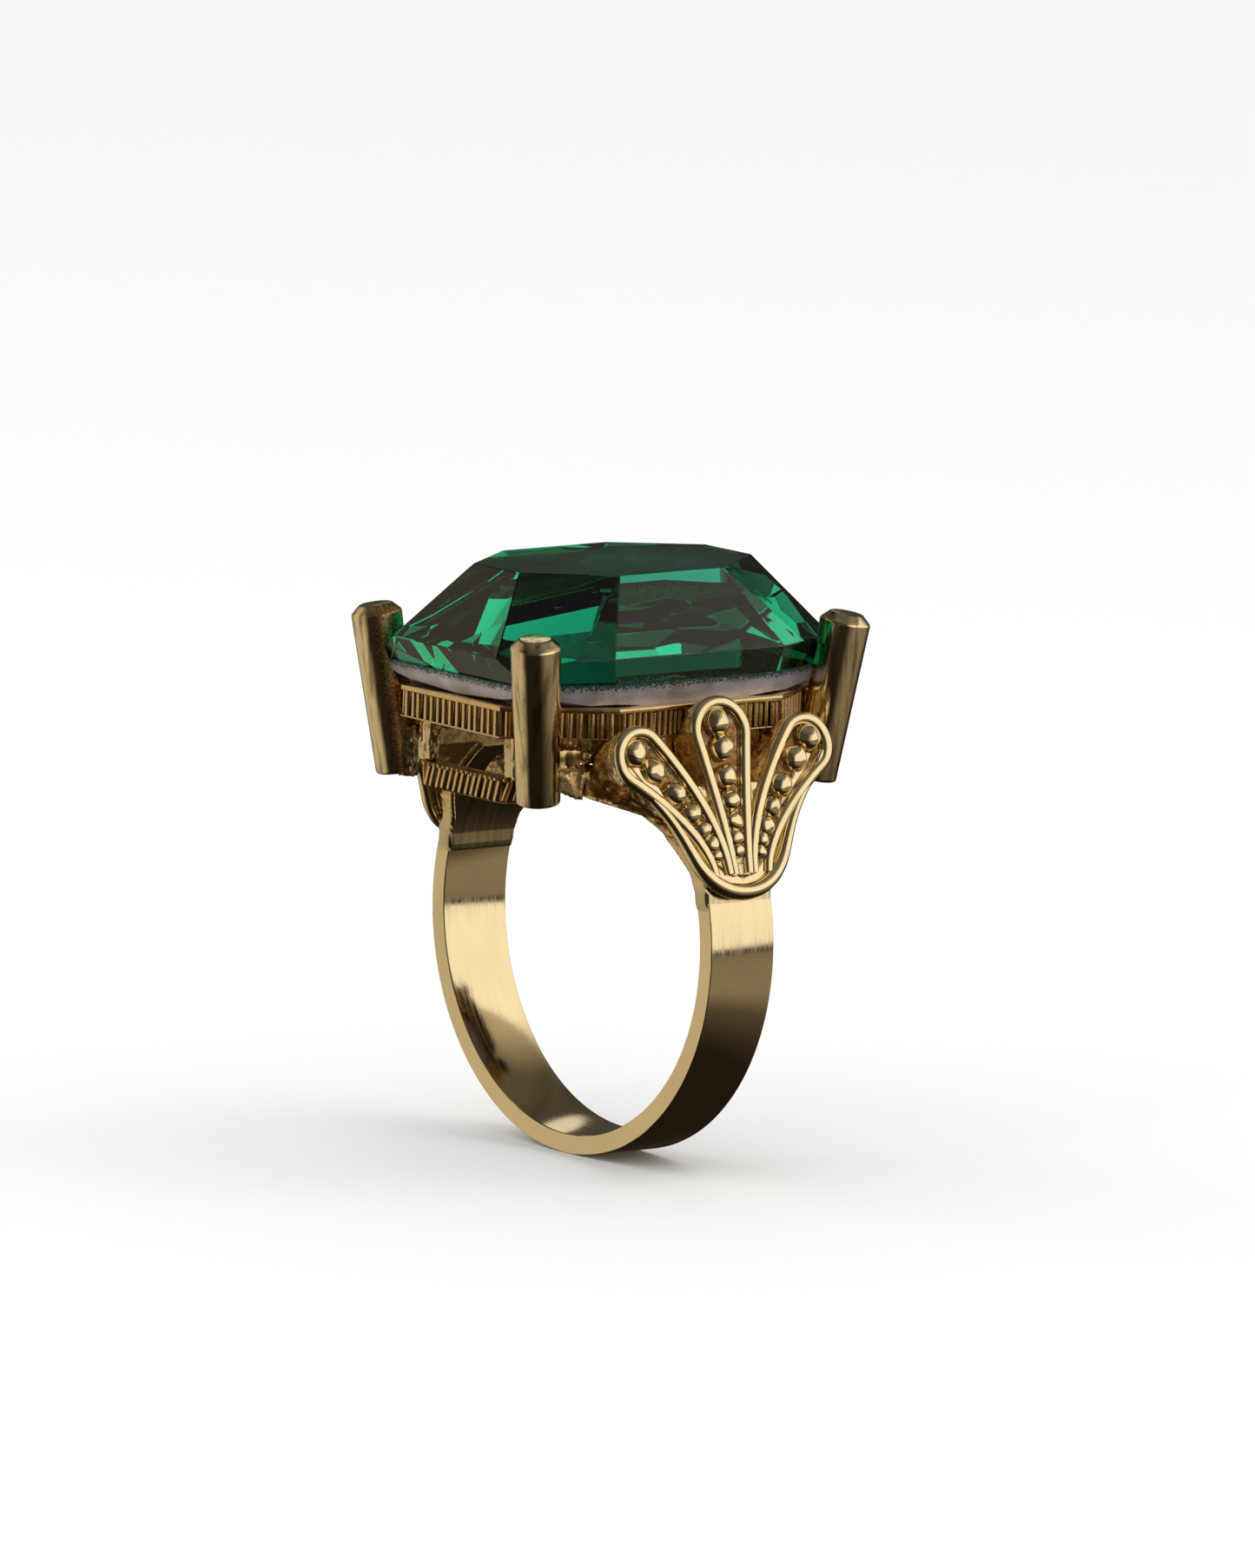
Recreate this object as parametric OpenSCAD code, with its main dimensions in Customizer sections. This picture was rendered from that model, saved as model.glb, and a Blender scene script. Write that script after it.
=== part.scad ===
// Cocktail ring: one long octagonal stone in a four-claw basket, on a flat band
// with palmette shoulders. Millimetres. The origin is the centre of the finger
// hole; the finger runs along Y and the stone faces +Z.

/* [Finger band] */
// Inside diameter of the finger hole
bore_d = 18; // [15:0.2:21.6]
// Thickness of the band
band_t = 0.85; // [0.7:0.05:1.2]
// Width of the band along the finger
band_w = 3.4; // [2.8:0.1:4.2]
// Height above the hole's centre where the band is soldered to the shoulders
joint_z = 2.4; // [2:0.1:2.9]

/* [Stone] */
// Width of the stone across the finger
stone_w = 12.5; // [10.4:0.1:15]
// Length of the stone along the finger
stone_l = 18; // [15:0.1:21.6]
// Cut corner of the stone, measured across the finger
stone_corner_w = 1.6; // [1.2:0.1:2]
// Cut corner of the stone, measured along the finger
stone_corner_l = 4.4; // [3.6:0.1:5.2]
// Height of the stone's steep lower wall, from its seat to the crown
wall_h = 2.1; // [1.7:0.1:2.5]
// Height of the crown facets
crown_h = 3.25; // [2.6:0.05:3.9]
// Depth of the stone below its seat
pavilion_h = 1.35; // [0.9:0.05:1.4]
// Width of the table facet across the finger
table_w = 8.2; // [7:0.1:9.2]
// Length of the table facet along the finger
table_l = 12.6; // [10.6:0.1:14.4]

/* [Basket] */
// Height of the stone's seat above the top of the finger circle
seat_rise = 1.6; // [1.5:0.1:2.4]
// Height of the upper rail
rail_h = 1.4; // [1.1:0.05:1.7]
// Wall thickness of the rails
rail_t = 0.95; // [0.8:0.05:1.1]
// How far the top edge of the lower rails lies below the top of the finger circle
low_drop = 1.7; // [1.4:0.1:2]
// Height of the lower rails
low_h = 1.05; // [0.9:0.05:1.25]

/* [Claws] */
// Diameter of a claw at its tip
claw_tip_d = 2.2; // [1.85:0.05:2.65]
// Diameter of a claw at its foot
claw_foot_d = 1.9; // [1.6:0.05:2.2]
// How far a claw stands above the stone's lower wall
claw_over = 0.75; // [0.6:0.05:1.1]

/* [Shoulders] */
// Thickness of the palmette plates
plate_t = 0.6; // [0.5:0.05:0.7]
// Height of the wire rims round the palmette's lobes
rim_h = 0.34; // [0.28:0.02:0.4]
// Width of the wire rims
rim_w = 0.3; // [0.25:0.01:0.36]
// Radius of the largest grain in a lobe
grain_r = 0.46; // [0.38:0.02:0.5]

/* [Hidden] */
$fn = 64;
FAN_PARTS = ["shoulder", "fan_plate", "fan_border", "front_rim", "middle_rim", "back_rim",
    "front_grains", "middle_grains", "back_grains"];

gold = "goldenrod";
old_gold = "darkgoldenrod";

// Heights
bore_r = bore_d / 2;
band_r = bore_r + band_t;
seat_z = bore_r + seat_rise;
rail_z = seat_z - rail_h;
low_top = bore_r - low_drop;
low_z = low_top - low_h;
crown_z = seat_z + wall_h;
table_z = crown_z + crown_h;
claw_foot_z = low_z + 0.35;
claw_top_z = crown_z + claw_over;

// Half sizes of the octagons, as [across, along, corner across, corner along]
girdle = [stone_w / 2, stone_l / 2, stone_corner_w, stone_corner_l];
// the stone's foot draws in to stand on the rail
foot = [girdle[0] - 0.35, girdle[1] - 0.9, stone_corner_w + 1, stone_corner_l - 0.4];
table = [table_w / 2, table_l / 2, table_w / 2 - 1.6, table_l / 2 - 2.8];
rail = [foot[0] + 0.6, foot[1] + 0.5, foot[2] + 0.4, foot[3] + 0.2];
low = [rail[0] - 0.9, rail[1] - 0.7, rail[2] - 0.2, rail[3] - 0.4];
foil_t = 0.12;
// the foil paint climbs this far up the stone's lower wall
foil_h = 1;
// the side walls stand a little inside the rail's face
wall_in = 0.3;
wall_t = 0.7;

// Claws stand against the stone's cut corners and lean outwards; each is a round
// bar with its inner side filed flat
claw_lean = [0.097, 0.132];
claw_bite = 0.5;
claw_flat = 0.6;
claw_along = 0.95;
corner_len = norm([girdle[2], girdle[3]]);
corner_out = [girdle[3], girdle[2]] / corner_len;
corner_run = [girdle[2], -girdle[3]] / corner_len;
claw_tip_r = claw_tip_d / 2;
claw_foot_r = claw_foot_d / 2;
claw_at_crown = [girdle[0] - girdle[2], girdle[1]] + corner_run * claw_along
    + corner_out * (claw_tip_r - claw_bite);
function claw_xy(z) = claw_at_crown - claw_lean * (crown_z - z);
// Webs behind the claws, as [bottom, top, width, reach inwards from the claw's axis]
upper_web = [rail_z + 0.5, seat_z - 0.1, 0.9, 1.7];
lower_web = [low_z + 0.15, low_top + 1.3, 1.1, 2.1];
web_end = 0.3;

// The finger circle is cut clear over the middle of the basket
saddle_half = claw_xy(claw_foot_z)[1] - claw_foot_r - 0.45;
saddle_gap = 0.2;
arm_half = 2.6;

// The palmette plates lean from the band's face to the upper rail
fan_foot_z = 2.5;
fan_x0 = band_r + 0.05;
fan_x1 = rail[0] + 0.95;
fan_lean = atan2(fan_x0 - fan_x1, seat_z - 0.2 - fan_foot_z);
fan_l = norm([fan_x0 - fan_x1, seat_z - 0.2 - fan_foot_z]);
fan_reach = 6.3;
// Back of the plates at height z
function back_x(z) = fan_x0 - plate_t / cos(fan_lean) - (z - fan_foot_z) * tan(fan_lean);

// Lobe axes in the plate's plane: the middle one is straight, the outer two curl away
lobe_foot = 1.15;
mid_top = fan_l - 0.99;
side_top = fan_l - 1.83;
side_reach = 3.4;
lobe_w0 = 0.5;
function mid_r(t) = lobe_w0 + (1.45 - lobe_w0) * pow(t, 1.3);
function side_r(t) = lobe_w0 + (1.28 - lobe_w0) * pow(t, 1.4);
function axis_point(side, t) = side == 0
    ? [0, lobe_foot + (mid_top - lobe_foot) * t]
    : [side * (1.05 + side_reach * pow(t, 1.7)), lobe_foot + (side_top - lobe_foot) * t];
function lobe_r(side, t) = side == 0 ? mid_r(t) : side_r(t);
function run_dir(side, t) =
    let (a = axis_point(side, max(0, t - 0.02)), b = axis_point(side, min(1, t + 0.02)))
    (b - a) / norm(b - a);
// Outline of a lobe: up its right edge, round its head and down its left edge
function lobe_points(side, grow, steps = 10, turns = 12) =
    let (head = axis_point(side, 1), up = run_dir(side, 1), a0 = atan2(up[1], up[0]))
    concat(
        [for (i = [0 : steps - 1]) let (t = i / steps, d = run_dir(side, t))
            axis_point(side, t) + [d[1], -d[0]] * (lobe_r(side, t) + grow)],
        [for (i = [0 : turns]) let (a = a0 - 90 + 180 * i / turns)
            head + [cos(a), sin(a)] * (lobe_r(side, 1) + grow)],
        [for (i = [steps - 1 : -1 : 0]) let (t = i / steps, d = run_dir(side, t))
            axis_point(side, t) + [-d[1], d[0]] * (lobe_r(side, t) + grow)]);

// Octagon with its faces moved in by d
function octagon(o, d = 0) =
    let (n = [o[3], o[2]] / norm([o[3], o[2]]), c = n * [o[0], o[1] - o[3]] - d,
        a = o[0] - d, b = o[1] - d, y = (c - n[0] * a) / n[1], x = (c - n[1] * b) / n[0])
    [[a, -y], [a, y], [x, b], [-x, b], [-a, y], [-a, -y], [-x, -b], [x, -b]];

// ---- shared shapes ----

module along_y(r, half) {
    rotate([90, 0, 0]) cylinder(r = r, h = 2 * half, center = true);
}

module ring_wall(o, t, z0, z1, d = 0) {
    translate([0, 0, z0]) linear_extrude(z1 - z0) difference() {
        polygon(octagon(o, d));
        polygon(octagon(o, d + t));
    }
}

// A closed body through a stack of octagons, each given as [z, points]
module stack(layers) {
    n = 8;
    last = len(layers) - 1;
    polyhedron(
        points = [for (l = layers) for (p = l[1]) [p[0], p[1], l[0]]],
        faces = concat(
            [[for (i = [0 : n - 1]) i]],
            [for (k = [0 : last - 1]) for (i = [0 : n - 1]) let (j = (i + 1) % n)
                for (f = [[k * n + i, k * n + n + i, k * n + j], [k * n + j, k * n + n + i, k * n + n + j]])
                    f],
            [[for (i = [n - 1 : -1 : 0]) last * n + i]]));
}

module stone_body() {
    stack([
        [seat_z - pavilion_h, octagon([2.2, foot[1] - 4.2, 0.9, 1.6])],
        [seat_z, octagon(foot)],
        [crown_z, octagon(girdle)],
        [table_z, octagon(table)]]);
}

// sx and sy pick the corner
module claw_body(sx, sy) {
    foot_at = claw_xy(claw_foot_z);
    h = claw_top_z - claw_foot_z;
    lean = norm(claw_lean) * h;
    difference() {
        translate([sx * foot_at[0], sy * foot_at[1], claw_foot_z])
            rotate([0, atan2(lean, h), atan2(sy * claw_lean[1], sx * claw_lean[0])])
                union() {
                    cylinder(r1 = claw_foot_r, r2 = claw_tip_r, h = h);
                    translate([0, 0, h]) intersection() {
                        sphere(r = claw_tip_r);
                        translate([0, 0, claw_tip_r * 0.2]) cube([3 * claw_tip_r, 3 * claw_tip_r,
                            claw_tip_r * 0.5], center = true);
                    }
                }
        translate([sx * foot_at[0], sy * foot_at[1], 0])
            rotate([0, 0, atan2(sy * corner_out[1], sx * corner_out[0])])
                translate([-2 * claw_tip_r - claw_flat, -2 * claw_tip_r, 0])
                    cube([2 * claw_tip_r, 4 * claw_tip_r, seat_z]);
    }
}

// Places a shape drawn in the plate's plane: x runs along the finger, y up the slope
module on_fan() {
    translate([fan_x0, 0, fan_foot_z]) rotate([0, -fan_lean, 0]) rotate([90, 0, 90]) children();
}

module fan_outline(grow) {
    u_r = 1.62 + grow;
    union() {
        for (side = [-1 : 1]) polygon(lobe_points(side, 0.1 + grow));
        polygon([for (i = [0 : 23]) [u_r * cos(15 * i), 2.45 + u_r * sin(15 * i)]]);
        polygon([[-1.3 - grow, 2], [1.3 + grow, 2], [2.3, 5.1 + grow], [-2.3, 5.1 + grow]]);
    }
}

// Solid part of the shoulder behind the palmette, up to the upper rail
module shoulder_block() {
    top_z = seat_z - 0.55;
    foot_z = joint_z + 0.9;
    intersection() {
        rotate([90, 0, 0]) linear_extrude(2 * fan_reach, center = true)
            polygon([[7, foot_z], [back_x(foot_z), foot_z],
                [back_x(top_z), top_z], [rail[0], top_z], [rail[0], rail_z],
                [rail[0] - wall_in, rail_z], [rail[0] - wall_in, low_top]]);
        on_fan() translate([0, 0, -6]) linear_extrude(8) fan_outline(-0.2);
    }
}

// ---- the pieces ----

module band() {
    color(gold) difference() {
        along_y(band_r, band_w / 2);
        along_y(bore_r, band_w);
        translate([-2 * band_r, -band_w, joint_z]) cube([4 * band_r, 2 * band_w, 2 * band_r]);
    }
}

// Shoulder casting: a saddle plate against the finger, and the block behind the palmette
module shoulder() {
    x_in = rail[0] - wall_in - wall_t;
    flare = [[band_w / 2, joint_z], [band_w / 2 + 0.15, joint_z + 1.2], [arm_half, joint_z + 2.7],
        [arm_half + 0.9, joint_z + 3.6], [saddle_half - 1, low_top - 0.75],
        [saddle_half, low_top - 0.4], [saddle_half, low_top + 1.4]];
    color(old_gold) difference() {
        union() {
            intersection() {
                along_y(band_r, saddle_half + 1);
                translate([x_in, 0, 0]) rotate([90, 0, 90]) linear_extrude(band_r)
                    polygon(concat(flare, [for (i = [len(flare) - 1 : -1 : 0]) [-flare[i][0], flare[i][1]]]));
            }
            shoulder_block();
        }
        along_y(bore_r, saddle_half + 2);
        for (s = [-1, 1]) translate([0, s * (arm_half + 3), 0]) along_y(bore_r + saddle_gap, 3);
        // window into the hollow behind the palmette
        translate([0, 0, joint_z + 2.7]) rotate([90, 0, 90]) linear_extrude(back_x(joint_z + 4.1))
            polygon([[-0.6, 0], [0.6, 0], [1.2, 0.7], [1.25, 1.6], [-1.25, 1.6], [-1.2, 0.7]]);
    }
}

module fan_plate() {
    color(old_gold) difference() {
        on_fan() translate([0, 0, -plate_t]) linear_extrude(plate_t) fan_outline(0);
        along_y(band_r, 8);
        linear_extrude(joint_z) square(40, center = true);
    }
}

module fan_border() {
    color(gold) difference() {
        on_fan() translate([0, 0, -plate_t / 2]) linear_extrude(plate_t / 2 + rim_h + 0.1)
            intersection() {
                difference() {
                    fan_outline(0.42);
                    fan_outline(0.02);
                }
                translate([-8, -2]) square([16, fan_l * 0.55 + 2]);
            }
        along_y(band_r, 8);
    }
}

module lobe_rim(side) {
    color(gold) on_fan() linear_extrude(rim_h) difference() {
        polygon(lobe_points(side, 0));
        polygon(lobe_points(side, -rim_w));
    }
}

// A half ball standing on the XY plane
module dome(r) {
    rotate_extrude() intersection() {
        circle(r = r);
        square(r);
    }
}

// A row of grains down a lobe, the largest in its head; neighbours never touch
module lobe_grains(side) {
    head_room = (lobe_r(side, 1) - rim_w) * 3.2;
    function grain_t(i) = 1.12 - 0.24 * i + 0.0135 * i * i;
    function grain_at(i) = let (t = grain_t(i)) t <= 1
        ? axis_point(side, t)
        : axis_point(side, 1) + run_dir(side, 1) * (t - 1) * head_room;
    color(gold) for (i = [0 : 6]) {
        room = norm(grain_at(i) - grain_at(i + 1)) + 0.03 * i;
        on_fan() translate([grain_at(i)[0], grain_at(i)[1], 0])
            dome(min(grain_r * (1 - 0.085 * i), 0.48 * room, lobe_r(side, min(grain_t(i), 1)) - rim_w - 0.01));
    }
}

module upper_rail() {
    color(gold) difference() {
        ring_wall(rail, rail_t, rail_z, seat_z);
        for (sx = [-1, 1], sy = [-1, 1]) claw_body(sx, sy);
        foil_body();
    }
}

// sy picks the end of the basket
module lower_rail(sy) {
    color(gold) intersection() {
        ring_wall(low, rail_t - 0.1, low_z, low_top);
        translate([-20, sy > 0 ? saddle_half : -20 - saddle_half, 0]) cube([40, 20, 20]);
    }
}

module side_wall() {
    foot_at = claw_xy(claw_foot_z);
    butt_y = saddle_half - 0.25;
    grain_strip = 1.6;
    color(old_gold) difference() {
        union() {
            intersection() {
                ring_wall(rail, wall_t, low_z + 0.4, rail_z, wall_in);
                translate([0, -saddle_half - 0.7, 0]) cube([20, 2 * saddle_half + 1.4, 20]);
            }
            // buttress that closes the corner between the saddle and the claw
            for (sy = [-1, 1]) translate([0, 0, low_z + 0.4]) linear_extrude(rail_z - low_z - grain_strip)
                polygon([[foot_at[0] - 0.2, sy * foot_at[1]], [foot_at[0] + 0.1, sy * butt_y],
                    [rail[0], sy * butt_y], [foot_at[0] + 0.8, sy * foot_at[1]]]);
        }
        along_y(band_r, saddle_half);
        along_y(bore_r + saddle_gap, saddle_half + 3);
        shoulder_block();
        translate([0, 0, low_z]) linear_extrude(low_h) polygon(octagon(low));
        for (sy = [-1, 1]) claw_body(1, sy);
    }
}

module gallery_posts() {
    at = octagon(rail, 0.62)[2];
    color(old_gold) for (sx = [-1, 1], sy = [-1, 1])
        translate([sx * (at[0] - 0.2), sy * (at[1] - 0.62), low_top])
            translate([-0.42, -0.3, 0]) cube([0.84, 0.6, rail_z - low_top]);
}

// One web that ties a claw to the basket's cut corner; its end is let into the claw
module web_bar(w, sx, sy) {
    out = atan2(corner_out[1] + 0.35, corner_out[0]);
    at = claw_xy((w[0] + w[1]) / 2);
    difference() {
        translate([sx * at[0], sy * at[1], w[0]]) rotate([0, 0, atan2(sy * sin(out), sx * cos(out))])
            translate([-w[3], -w[2] / 2, 0]) cube([w[3] - web_end, w[2], w[1] - w[0]]);
        translate([0, 0, rail_z]) linear_extrude(rail_h) polygon(octagon(rail));
        translate([0, 0, low_z]) linear_extrude(low_h) polygon(octagon(low));
        translate([0, 0, low_z]) linear_extrude(rail_z - low_z) polygon(octagon(rail, wall_in));
    }
}

module claw_webs(w) {
    color(old_gold) for (sx = [-1, 1], sy = [-1, 1]) web_bar(w, sx, sy);
}

// Grains soldered on the oblique corner walls, beside the claws
module corner_grains() {
    o = octagon(rail, wall_in);
    run = (o[2] - o[1]) / norm(o[2] - o[1]);
    color(gold) difference() {
        for (sx = [-1, 1], sy = [-1, 1], k = [0.26, 0.47]) {
            p = o[1] + run * norm(o[2] - o[1]) * k;
            translate([sx * p[0], sy * p[1], rail_z - 0.75])
                rotate([0, 0, atan2(-sy * run[0], sx * run[1])])
                    rotate([0, 90, 0]) dome(0.36);
        }
        shoulder_block();
        mirror([1, 0, 0]) shoulder_block();
    }
}

module claw(sx, sy) {
    color(gold) difference() {
        claw_body(sx, sy);
        stone_body();
        foil_body();
        web_bar(upper_web, sx, sy);
        web_bar(lower_web, sx, sy);
    }
}

module foil_body() {
    stack([
        [seat_z - pavilion_h - foil_t, octagon([2.2, foot[1] - 4.2, 0.9, 1.6], -foil_t)],
        [seat_z - foil_t, octagon(foot, -foil_t / 2)],
        [seat_z + foil_h, octagon(foot + (girdle - foot) * foil_h / wall_h, -foil_t)]]);
}

module foil_backing() {
    color("silver") difference() {
        foil_body();
        stone_body();
    }
}

module stone() {
    color("green") stone_body();
}

module fan_part(name) {
    if (name == "shoulder") shoulder();
    if (name == "fan_plate") fan_plate();
    if (name == "fan_border") fan_border();
    if (name == "front_rim") lobe_rim(-1);
    if (name == "middle_rim") lobe_rim(0);
    if (name == "back_rim") lobe_rim(1);
    if (name == "front_grains") lobe_grains(-1);
    if (name == "middle_grains") lobe_grains(0);
    if (name == "back_grains") lobe_grains(1);
}

band();
for (part = FAN_PARTS) {
    fan_part(part);
    mirror([1, 0, 0]) fan_part(part);
}
upper_rail();
lower_rail(-1);  // front_lower_rail
lower_rail(1);  // back_lower_rail
side_wall();  // right_side_wall
mirror([1, 0, 0]) side_wall();  // left_side_wall
gallery_posts();
claw_webs(upper_web);  // upper_claw_webs
claw_webs(lower_web);  // lower_claw_webs
corner_grains();
claw(1, -1);  // front_right_claw
claw(-1, -1);  // front_left_claw
claw(1, 1);  // back_right_claw
claw(-1, 1);  // back_left_claw
foil_backing();
stone();
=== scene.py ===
import math
import random
from collections import namedtuple
from contextlib import contextmanager
from functools import cache

import bmesh
import bpy
from mathutils import Matrix, Vector, noise


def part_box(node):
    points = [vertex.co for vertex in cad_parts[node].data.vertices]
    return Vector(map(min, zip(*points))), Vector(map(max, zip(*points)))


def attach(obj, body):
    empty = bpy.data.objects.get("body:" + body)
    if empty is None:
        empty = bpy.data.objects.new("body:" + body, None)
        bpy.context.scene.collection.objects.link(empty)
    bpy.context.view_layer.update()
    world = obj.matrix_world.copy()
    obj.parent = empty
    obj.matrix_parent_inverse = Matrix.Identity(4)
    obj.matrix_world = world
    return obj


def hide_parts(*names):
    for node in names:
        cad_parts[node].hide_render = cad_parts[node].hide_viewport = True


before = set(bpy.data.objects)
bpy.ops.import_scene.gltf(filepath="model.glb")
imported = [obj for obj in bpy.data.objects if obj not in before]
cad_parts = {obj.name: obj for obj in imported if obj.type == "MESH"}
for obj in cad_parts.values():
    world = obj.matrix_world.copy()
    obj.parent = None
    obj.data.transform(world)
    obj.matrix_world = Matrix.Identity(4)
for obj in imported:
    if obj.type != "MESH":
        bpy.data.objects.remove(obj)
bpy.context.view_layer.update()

bl_info = {
    "name": "Cocktail ring",
    "version": (1, 0, 0),
    "blender": (4, 5, 0),
    "location": "3D View > Sidebar > Ring",
    "description": ("Dresses the ring's frame: band, palmette shoulders, fluted basket, "
                    "claws, foil and stone"),
    "category": "Object",
}

# Pieces are modelled in millimetres and brought to metres when they are finished.
MM = 0.001


def node_box(node):
    """Lowest and highest corner of a frame node, in millimetres."""
    low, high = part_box(node)
    return low / MM, high / MM


BAND_LOW, BAND_HIGH = node_box("band")
STONE_LOW, STONE_HIGH = node_box("stone")
RAIL_LOW, RAIL_HIGH = node_box("upper_rail")
LOW_LOW, LOW_HIGH = node_box("front_lower_rail")

BAND_R = BAND_HIGH.x
BORE_R = 9.0
JOINT_Z = BAND_HIGH.z
SEAT_Z = RAIL_HIGH.z
RAIL_Z = RAIL_LOW.z
LOW_Z, LOW_TOP = LOW_LOW.z, LOW_HIGH.z
TABLE_Z = STONE_HIGH.z
CROWN_Z = SEAT_Z + 2.1
FLOOR_Z = BAND_LOW.z

# Half size across and along the finger, and how much of each a cut corner takes
Octagon = namedtuple("Octagon", "across along cut_x cut_y")
CORNERS = ((-1, -1), (-1, 1), (1, -1), (1, 1))
GIRDLE = Octagon(STONE_HIGH.x, STONE_HIGH.y, 1.6, 4.4)
FOOT = Octagon(GIRDLE.across - 0.35, GIRDLE.along - 0.9, 2.6, 4.0)
TABLE = Octagon(4.1, 6.3, 2.5, 3.5)
RAIL = Octagon(RAIL_HIGH.x, RAIL_HIGH.y, 3.0, 4.2)
LOW_RAIL = Octagon(RAIL.across - 0.9, RAIL.along - 0.7, 2.8, 3.8)
RAIL_T = 0.95
SADDLE_HALF = 6.107

# Castings stay smooth this near to the finger hole, and turn rough over this width beyond
SMOOTH, ROUGH_OVER = 0.2, 0.6

# Rows of facets on the back of the stone: how many, turned by, slope, share of the foot's reach
PAVILION = ((16, 0.0, 0.20, 1.0), (16, 11.25, 0.34, 0.82), (12, 4.0, 0.12, 0.62))
PAVILION_DEPTH = 1.35

# Claws: lean per millimetre of height, foot, and the flat towards the stone behind the axis
CLAW_LEAN = Vector((0.097, 0.132))
CLAW_FOOT = Vector((4.947, 7.507))
CLAW_FOOT_Z = LOW_Z + 0.35
CLAW_TOP_Z = CROWN_Z + 0.75
CLAW_FOOT_R, CLAW_TIP_R = 0.95, 1.1
CLAW_FLAT = 0.6

# The palmette: its plate runs up and in from the band; a lobe widens from its foot to its head
FAN_FOOT_Z = 2.5
FAN_X0 = BAND_R + 0.05
FAN_RISE = SEAT_Z - 0.2 - FAN_FOOT_Z
FAN_RUN = FAN_X0 - (RAIL.across + 0.95)
FAN_LEAN = math.atan2(FAN_RUN, FAN_RISE)
FAN_L = math.hypot(FAN_RUN, FAN_RISE)
LOBES = {"front": -1, "middle": 0, "back": 1}
LOBE_FOOT = 1.15
LOBE_TOP = {-1: FAN_L - 1.83, 0: FAN_L - 0.99, 1: FAN_L - 1.83}
LOBE_HEAD_R = {-1: 1.28, 0: 1.45, 1: 1.28}
LOBE_POWER = {-1: 1.4, 0: 1.3, 1: 1.4}
LOBE_FOOT_R = 0.5
RIM_W = 0.3
GRAINS = 7

SIDES = {"right": 1, "left": -1}
DICE = random.Random(7)


# ---------------------------------------------------------------- settings

LENGTH = {"precision": 5, "subtype": "DISTANCE", "unit": "LENGTH"}
COLOUR = {"min": 0, "max": 1, "subtype": "COLOR"}


class RingSizes(bpy.types.PropertyGroup):
    """Sizes of the worked detail that the frame doesn't fix."""

    flute_pitch: bpy.props.FloatProperty(
        name="Flute pitch", description="Spacing of the flutes on the rail's ends",
        default=0.00045, min=0.0003, max=0.0008, **LENGTH)
    reed_pitch: bpy.props.FloatProperty(
        name="Reed pitch", description="Spacing of the fine reeds on the rail's long sides",
        default=0.00027, min=0.0002, max=0.0006, **LENGTH)
    rope_pitch: bpy.props.FloatProperty(
        name="Rope pitch", description="Spacing of the slanted ribs on the lower rails",
        default=0.00042, min=0.0003, max=0.0008, **LENGTH)
    edge_break: bpy.props.FloatProperty(
        name="Broken edge", description="Rounding of the band's polished edges",
        default=0.00007, min=0.00004, max=0.0003, **LENGTH)
    wire_radius: bpy.props.FloatProperty(
        name="Wire radius", description="Radius of the wire round each lobe",
        default=0.00029, min=0.0001, max=0.0004, **LENGTH)
    cast_depth: bpy.props.FloatProperty(
        name="Casting depth", description="How deep the rough casting skin is worked",
        default=0.00007, min=0.0, max=0.00015, **LENGTH)


class RingFinish(bpy.types.PropertyGroup):
    """Colours of the metals, the foil and the glass."""

    polished: bpy.props.FloatVectorProperty(
        name="Polished gold", description="Colour of the polished gold",
        default=(0.93, 0.77, 0.46), **COLOUR)
    cast: bpy.props.FloatVectorProperty(
        name="Cast gold", description="Colour of the raised parts of the cast gold",
        default=(0.86, 0.62, 0.3), **COLOUR)
    copper: bpy.props.FloatVectorProperty(
        name="Copper bloom", description="Colour in the hollows of the casting",
        default=(0.52, 0.25, 0.08), **COLOUR)
    foil: bpy.props.FloatVectorProperty(
        name="Foil", description="Colour of the foil paint behind the stone",
        default=(0.50, 0.46, 0.50), **COLOUR)
    glass: bpy.props.FloatVectorProperty(
        name="Glass", description="Colour the glass lets through",
        default=(0.0, 0.74, 0.645), **COLOUR)
    glass_depth: bpy.props.FloatProperty(
        name="Glass depth", description="How strongly the glass colours light, per metre",
        default=400.0, min=0.0, max=2000.0)


class RingStage(bpy.types.PropertyGroup):
    """Floor and light of the studio."""

    floor: bpy.props.FloatVectorProperty(
        name="Floor", description="Colour of the floor",
        default=(0.96, 0.96, 0.96), **COLOUR)
    studio: bpy.props.FloatProperty(
        name="Studio light",
        description="Strength of the studio's cards, as metal and glass see them",
        default=1.0, min=0.0, max=5.0)


# ---------------------------------------------------------------- bench tools


def only(piece):
    """Selects one object alone and makes it active."""
    bpy.ops.object.select_all(action="DESELECT")
    piece.select_set(True)
    bpy.context.view_layer.objects.active = piece
    return piece


@contextmanager
def editing(piece, mode="FACE"):
    """Edit mode on one object, with all of its mesh selected."""
    only(piece)
    bpy.ops.object.mode_set(mode="EDIT")
    bpy.ops.mesh.select_mode(type=mode)
    bpy.ops.mesh.select_all(action="SELECT")
    yield
    bpy.ops.object.mode_set(mode="OBJECT")


def pick(piece, kind, test):
    """Selects, in edit mode, only the faces or only the edges that pass the test."""
    mesh = bmesh.from_edit_mesh(piece.data)
    parts = getattr(mesh, kind)
    for part in parts:
        part.select_set(False)
    for part in parts:
        if test(part):
            part.select_set(True)
    bmesh.update_edit_mesh(piece.data)


def pick_faces(piece, test):
    """Selects the faces whose centre and normal pass the test."""
    pick(piece, "faces", lambda face: test(face.calc_center_median(), face.normal))


def pick_edges(piece, test):
    """Selects the edges whose two ends pass the test."""
    pick(piece, "edges", lambda edge: test(edge.verts[0].co, edge.verts[1].co))


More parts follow.
